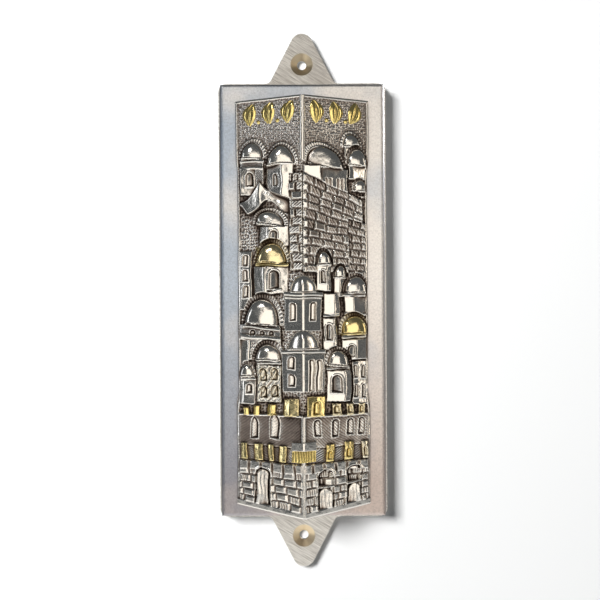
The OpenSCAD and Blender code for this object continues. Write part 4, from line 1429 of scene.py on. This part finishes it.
parchment = grown_piece("parchment", scroll_tree(), {
    "turns": TURNS, "core": CORE_R * MM, "outer": (ROLL_R - SKIN_T / 2) * MM, "thick": SKIN_T * MM,
    "tall": (roll_high[2] - roll_low[2]) * MM, "middle": (0, ROLL_Y * MM, ROLL_Z * MM),
    "finish": skin_finish})
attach(parchment, "case")
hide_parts("parchment_scroll")

# %% [markdown]
# ## Waxed paper
# The scroll is wrapped in waxed paper, so that damp doesn't reach it: a dull, slightly yellow sheet
# with long soft creases. The creases are noise that is stretched along the roll.

# %% Waxed paper
def waxed_paper():
    # a dull sheen, broken by long creases
    material, tree, paper, place = new_material("waxed_paper")
    folds = add(tree, "ShaderNodeMapping", {"Scale": (1 / (1.4 * MM), 1 / (1.4 * MM), 1 / (11 * MM))},
                {"Vector": place})
    crease = add(tree, "ShaderNodeTexNoise", {"Scale": 1.0, "Detail": 3.0, "Distortion": 0.6},
                 {"Vector": folds.outputs["Vector"]})
    tint = add(tree, "ShaderNodeValToRGB", links={"Fac": crease.outputs["Fac"]})
    rough = add(tree, "ShaderNodeMapRange", {"To Min": 0.36, "To Max": 0.48},
                {"Value": crease.outputs["Fac"]})
    relief = add(tree, "ShaderNodeBump", {"Strength": 0.6, "Distance": 0.15 * MM},
                 {"Height": crease.outputs["Fac"]})
    dress(tree, paper, stops(tint, (0.35, "#CFC6AC"), (0.65, "#EEE9DA")), rough.outputs["Result"],
          relief.outputs["Normal"], metallic=0.0)
    return material


paper = waxed_paper()
print("made", paper.name)

# %% [markdown]
# ## Turned steel
# The case screws are turned steel, and the turning tool left fine rings round each one's axis. All four
# stand at the same distance from the middle, so one pattern on folded coordinates serves them all.

# %% Turned steel
CASE_SCREW = (20.0, 57.0)       # millimetres from the middle, across and up
TURNED = 0.12                   # millimetres between two rings of the turning tool


def turned_steel():
    # fine rings round each screw's axis, which spread a highlight into two fans
    material, tree, steel, place = new_material("turned_steel")
    phase = add(tree, "ShaderNodeMath", {1: 2 * math.pi / (TURNED * MM)},
                {0: ring_distance(tree, place, *CASE_SCREW)}, operation="MULTIPLY")
    rings = add(tree, "ShaderNodeMath", links={0: phase.outputs["Value"]}, operation="SINE")
    specks = add(tree, "ShaderNodeTexNoise", {"Scale": 1 / (0.3 * MM), "Detail": 3.0}, {"Vector": place})
    tint = add(tree, "ShaderNodeValToRGB", links={"Fac": specks.outputs["Fac"]})
    rough = add(tree, "ShaderNodeMapRange", {"To Min": 0.24, "To Max": 0.36},
                {"Value": specks.outputs["Fac"]})
    relief = add(tree, "ShaderNodeBump", {"Strength": 0.3, "Distance": 0.01 * MM},
                 {"Height": rings.outputs["Value"]})
    dress(tree, steel, stops(tint, (0.0, "#85868A"), (1.0, "#C2C4C8")), rough.outputs["Result"],
          relief.outputs["Normal"])
    return material


steel = turned_steel()
print("made", steel.name)

# %% [markdown]
# ## Finishes for the exact parts
# The plate, the frame, the door and the fittings keep the exact shapes of the frame that was loaded.
# They only need their finish.

# %% Finishes for the exact parts
FINISHES = {
    "back_plate": plate_silver, "front_frame": satin, "scroll_door": door_silver,
    "top_end_plate": inner_metal, "base_end_plate": inner_metal, "left_rail": inner_metal,
    "right_rail": inner_metal, "door_stop": inner_metal, "scroll_wrap": paper,
    "case_screws": steel}
for name, finish in FINISHES.items():
    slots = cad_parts[name].data.materials
    slots.clear()
    slots.append(finish)
print("finished:", ", ".join(FINISHES))

# %% [markdown]
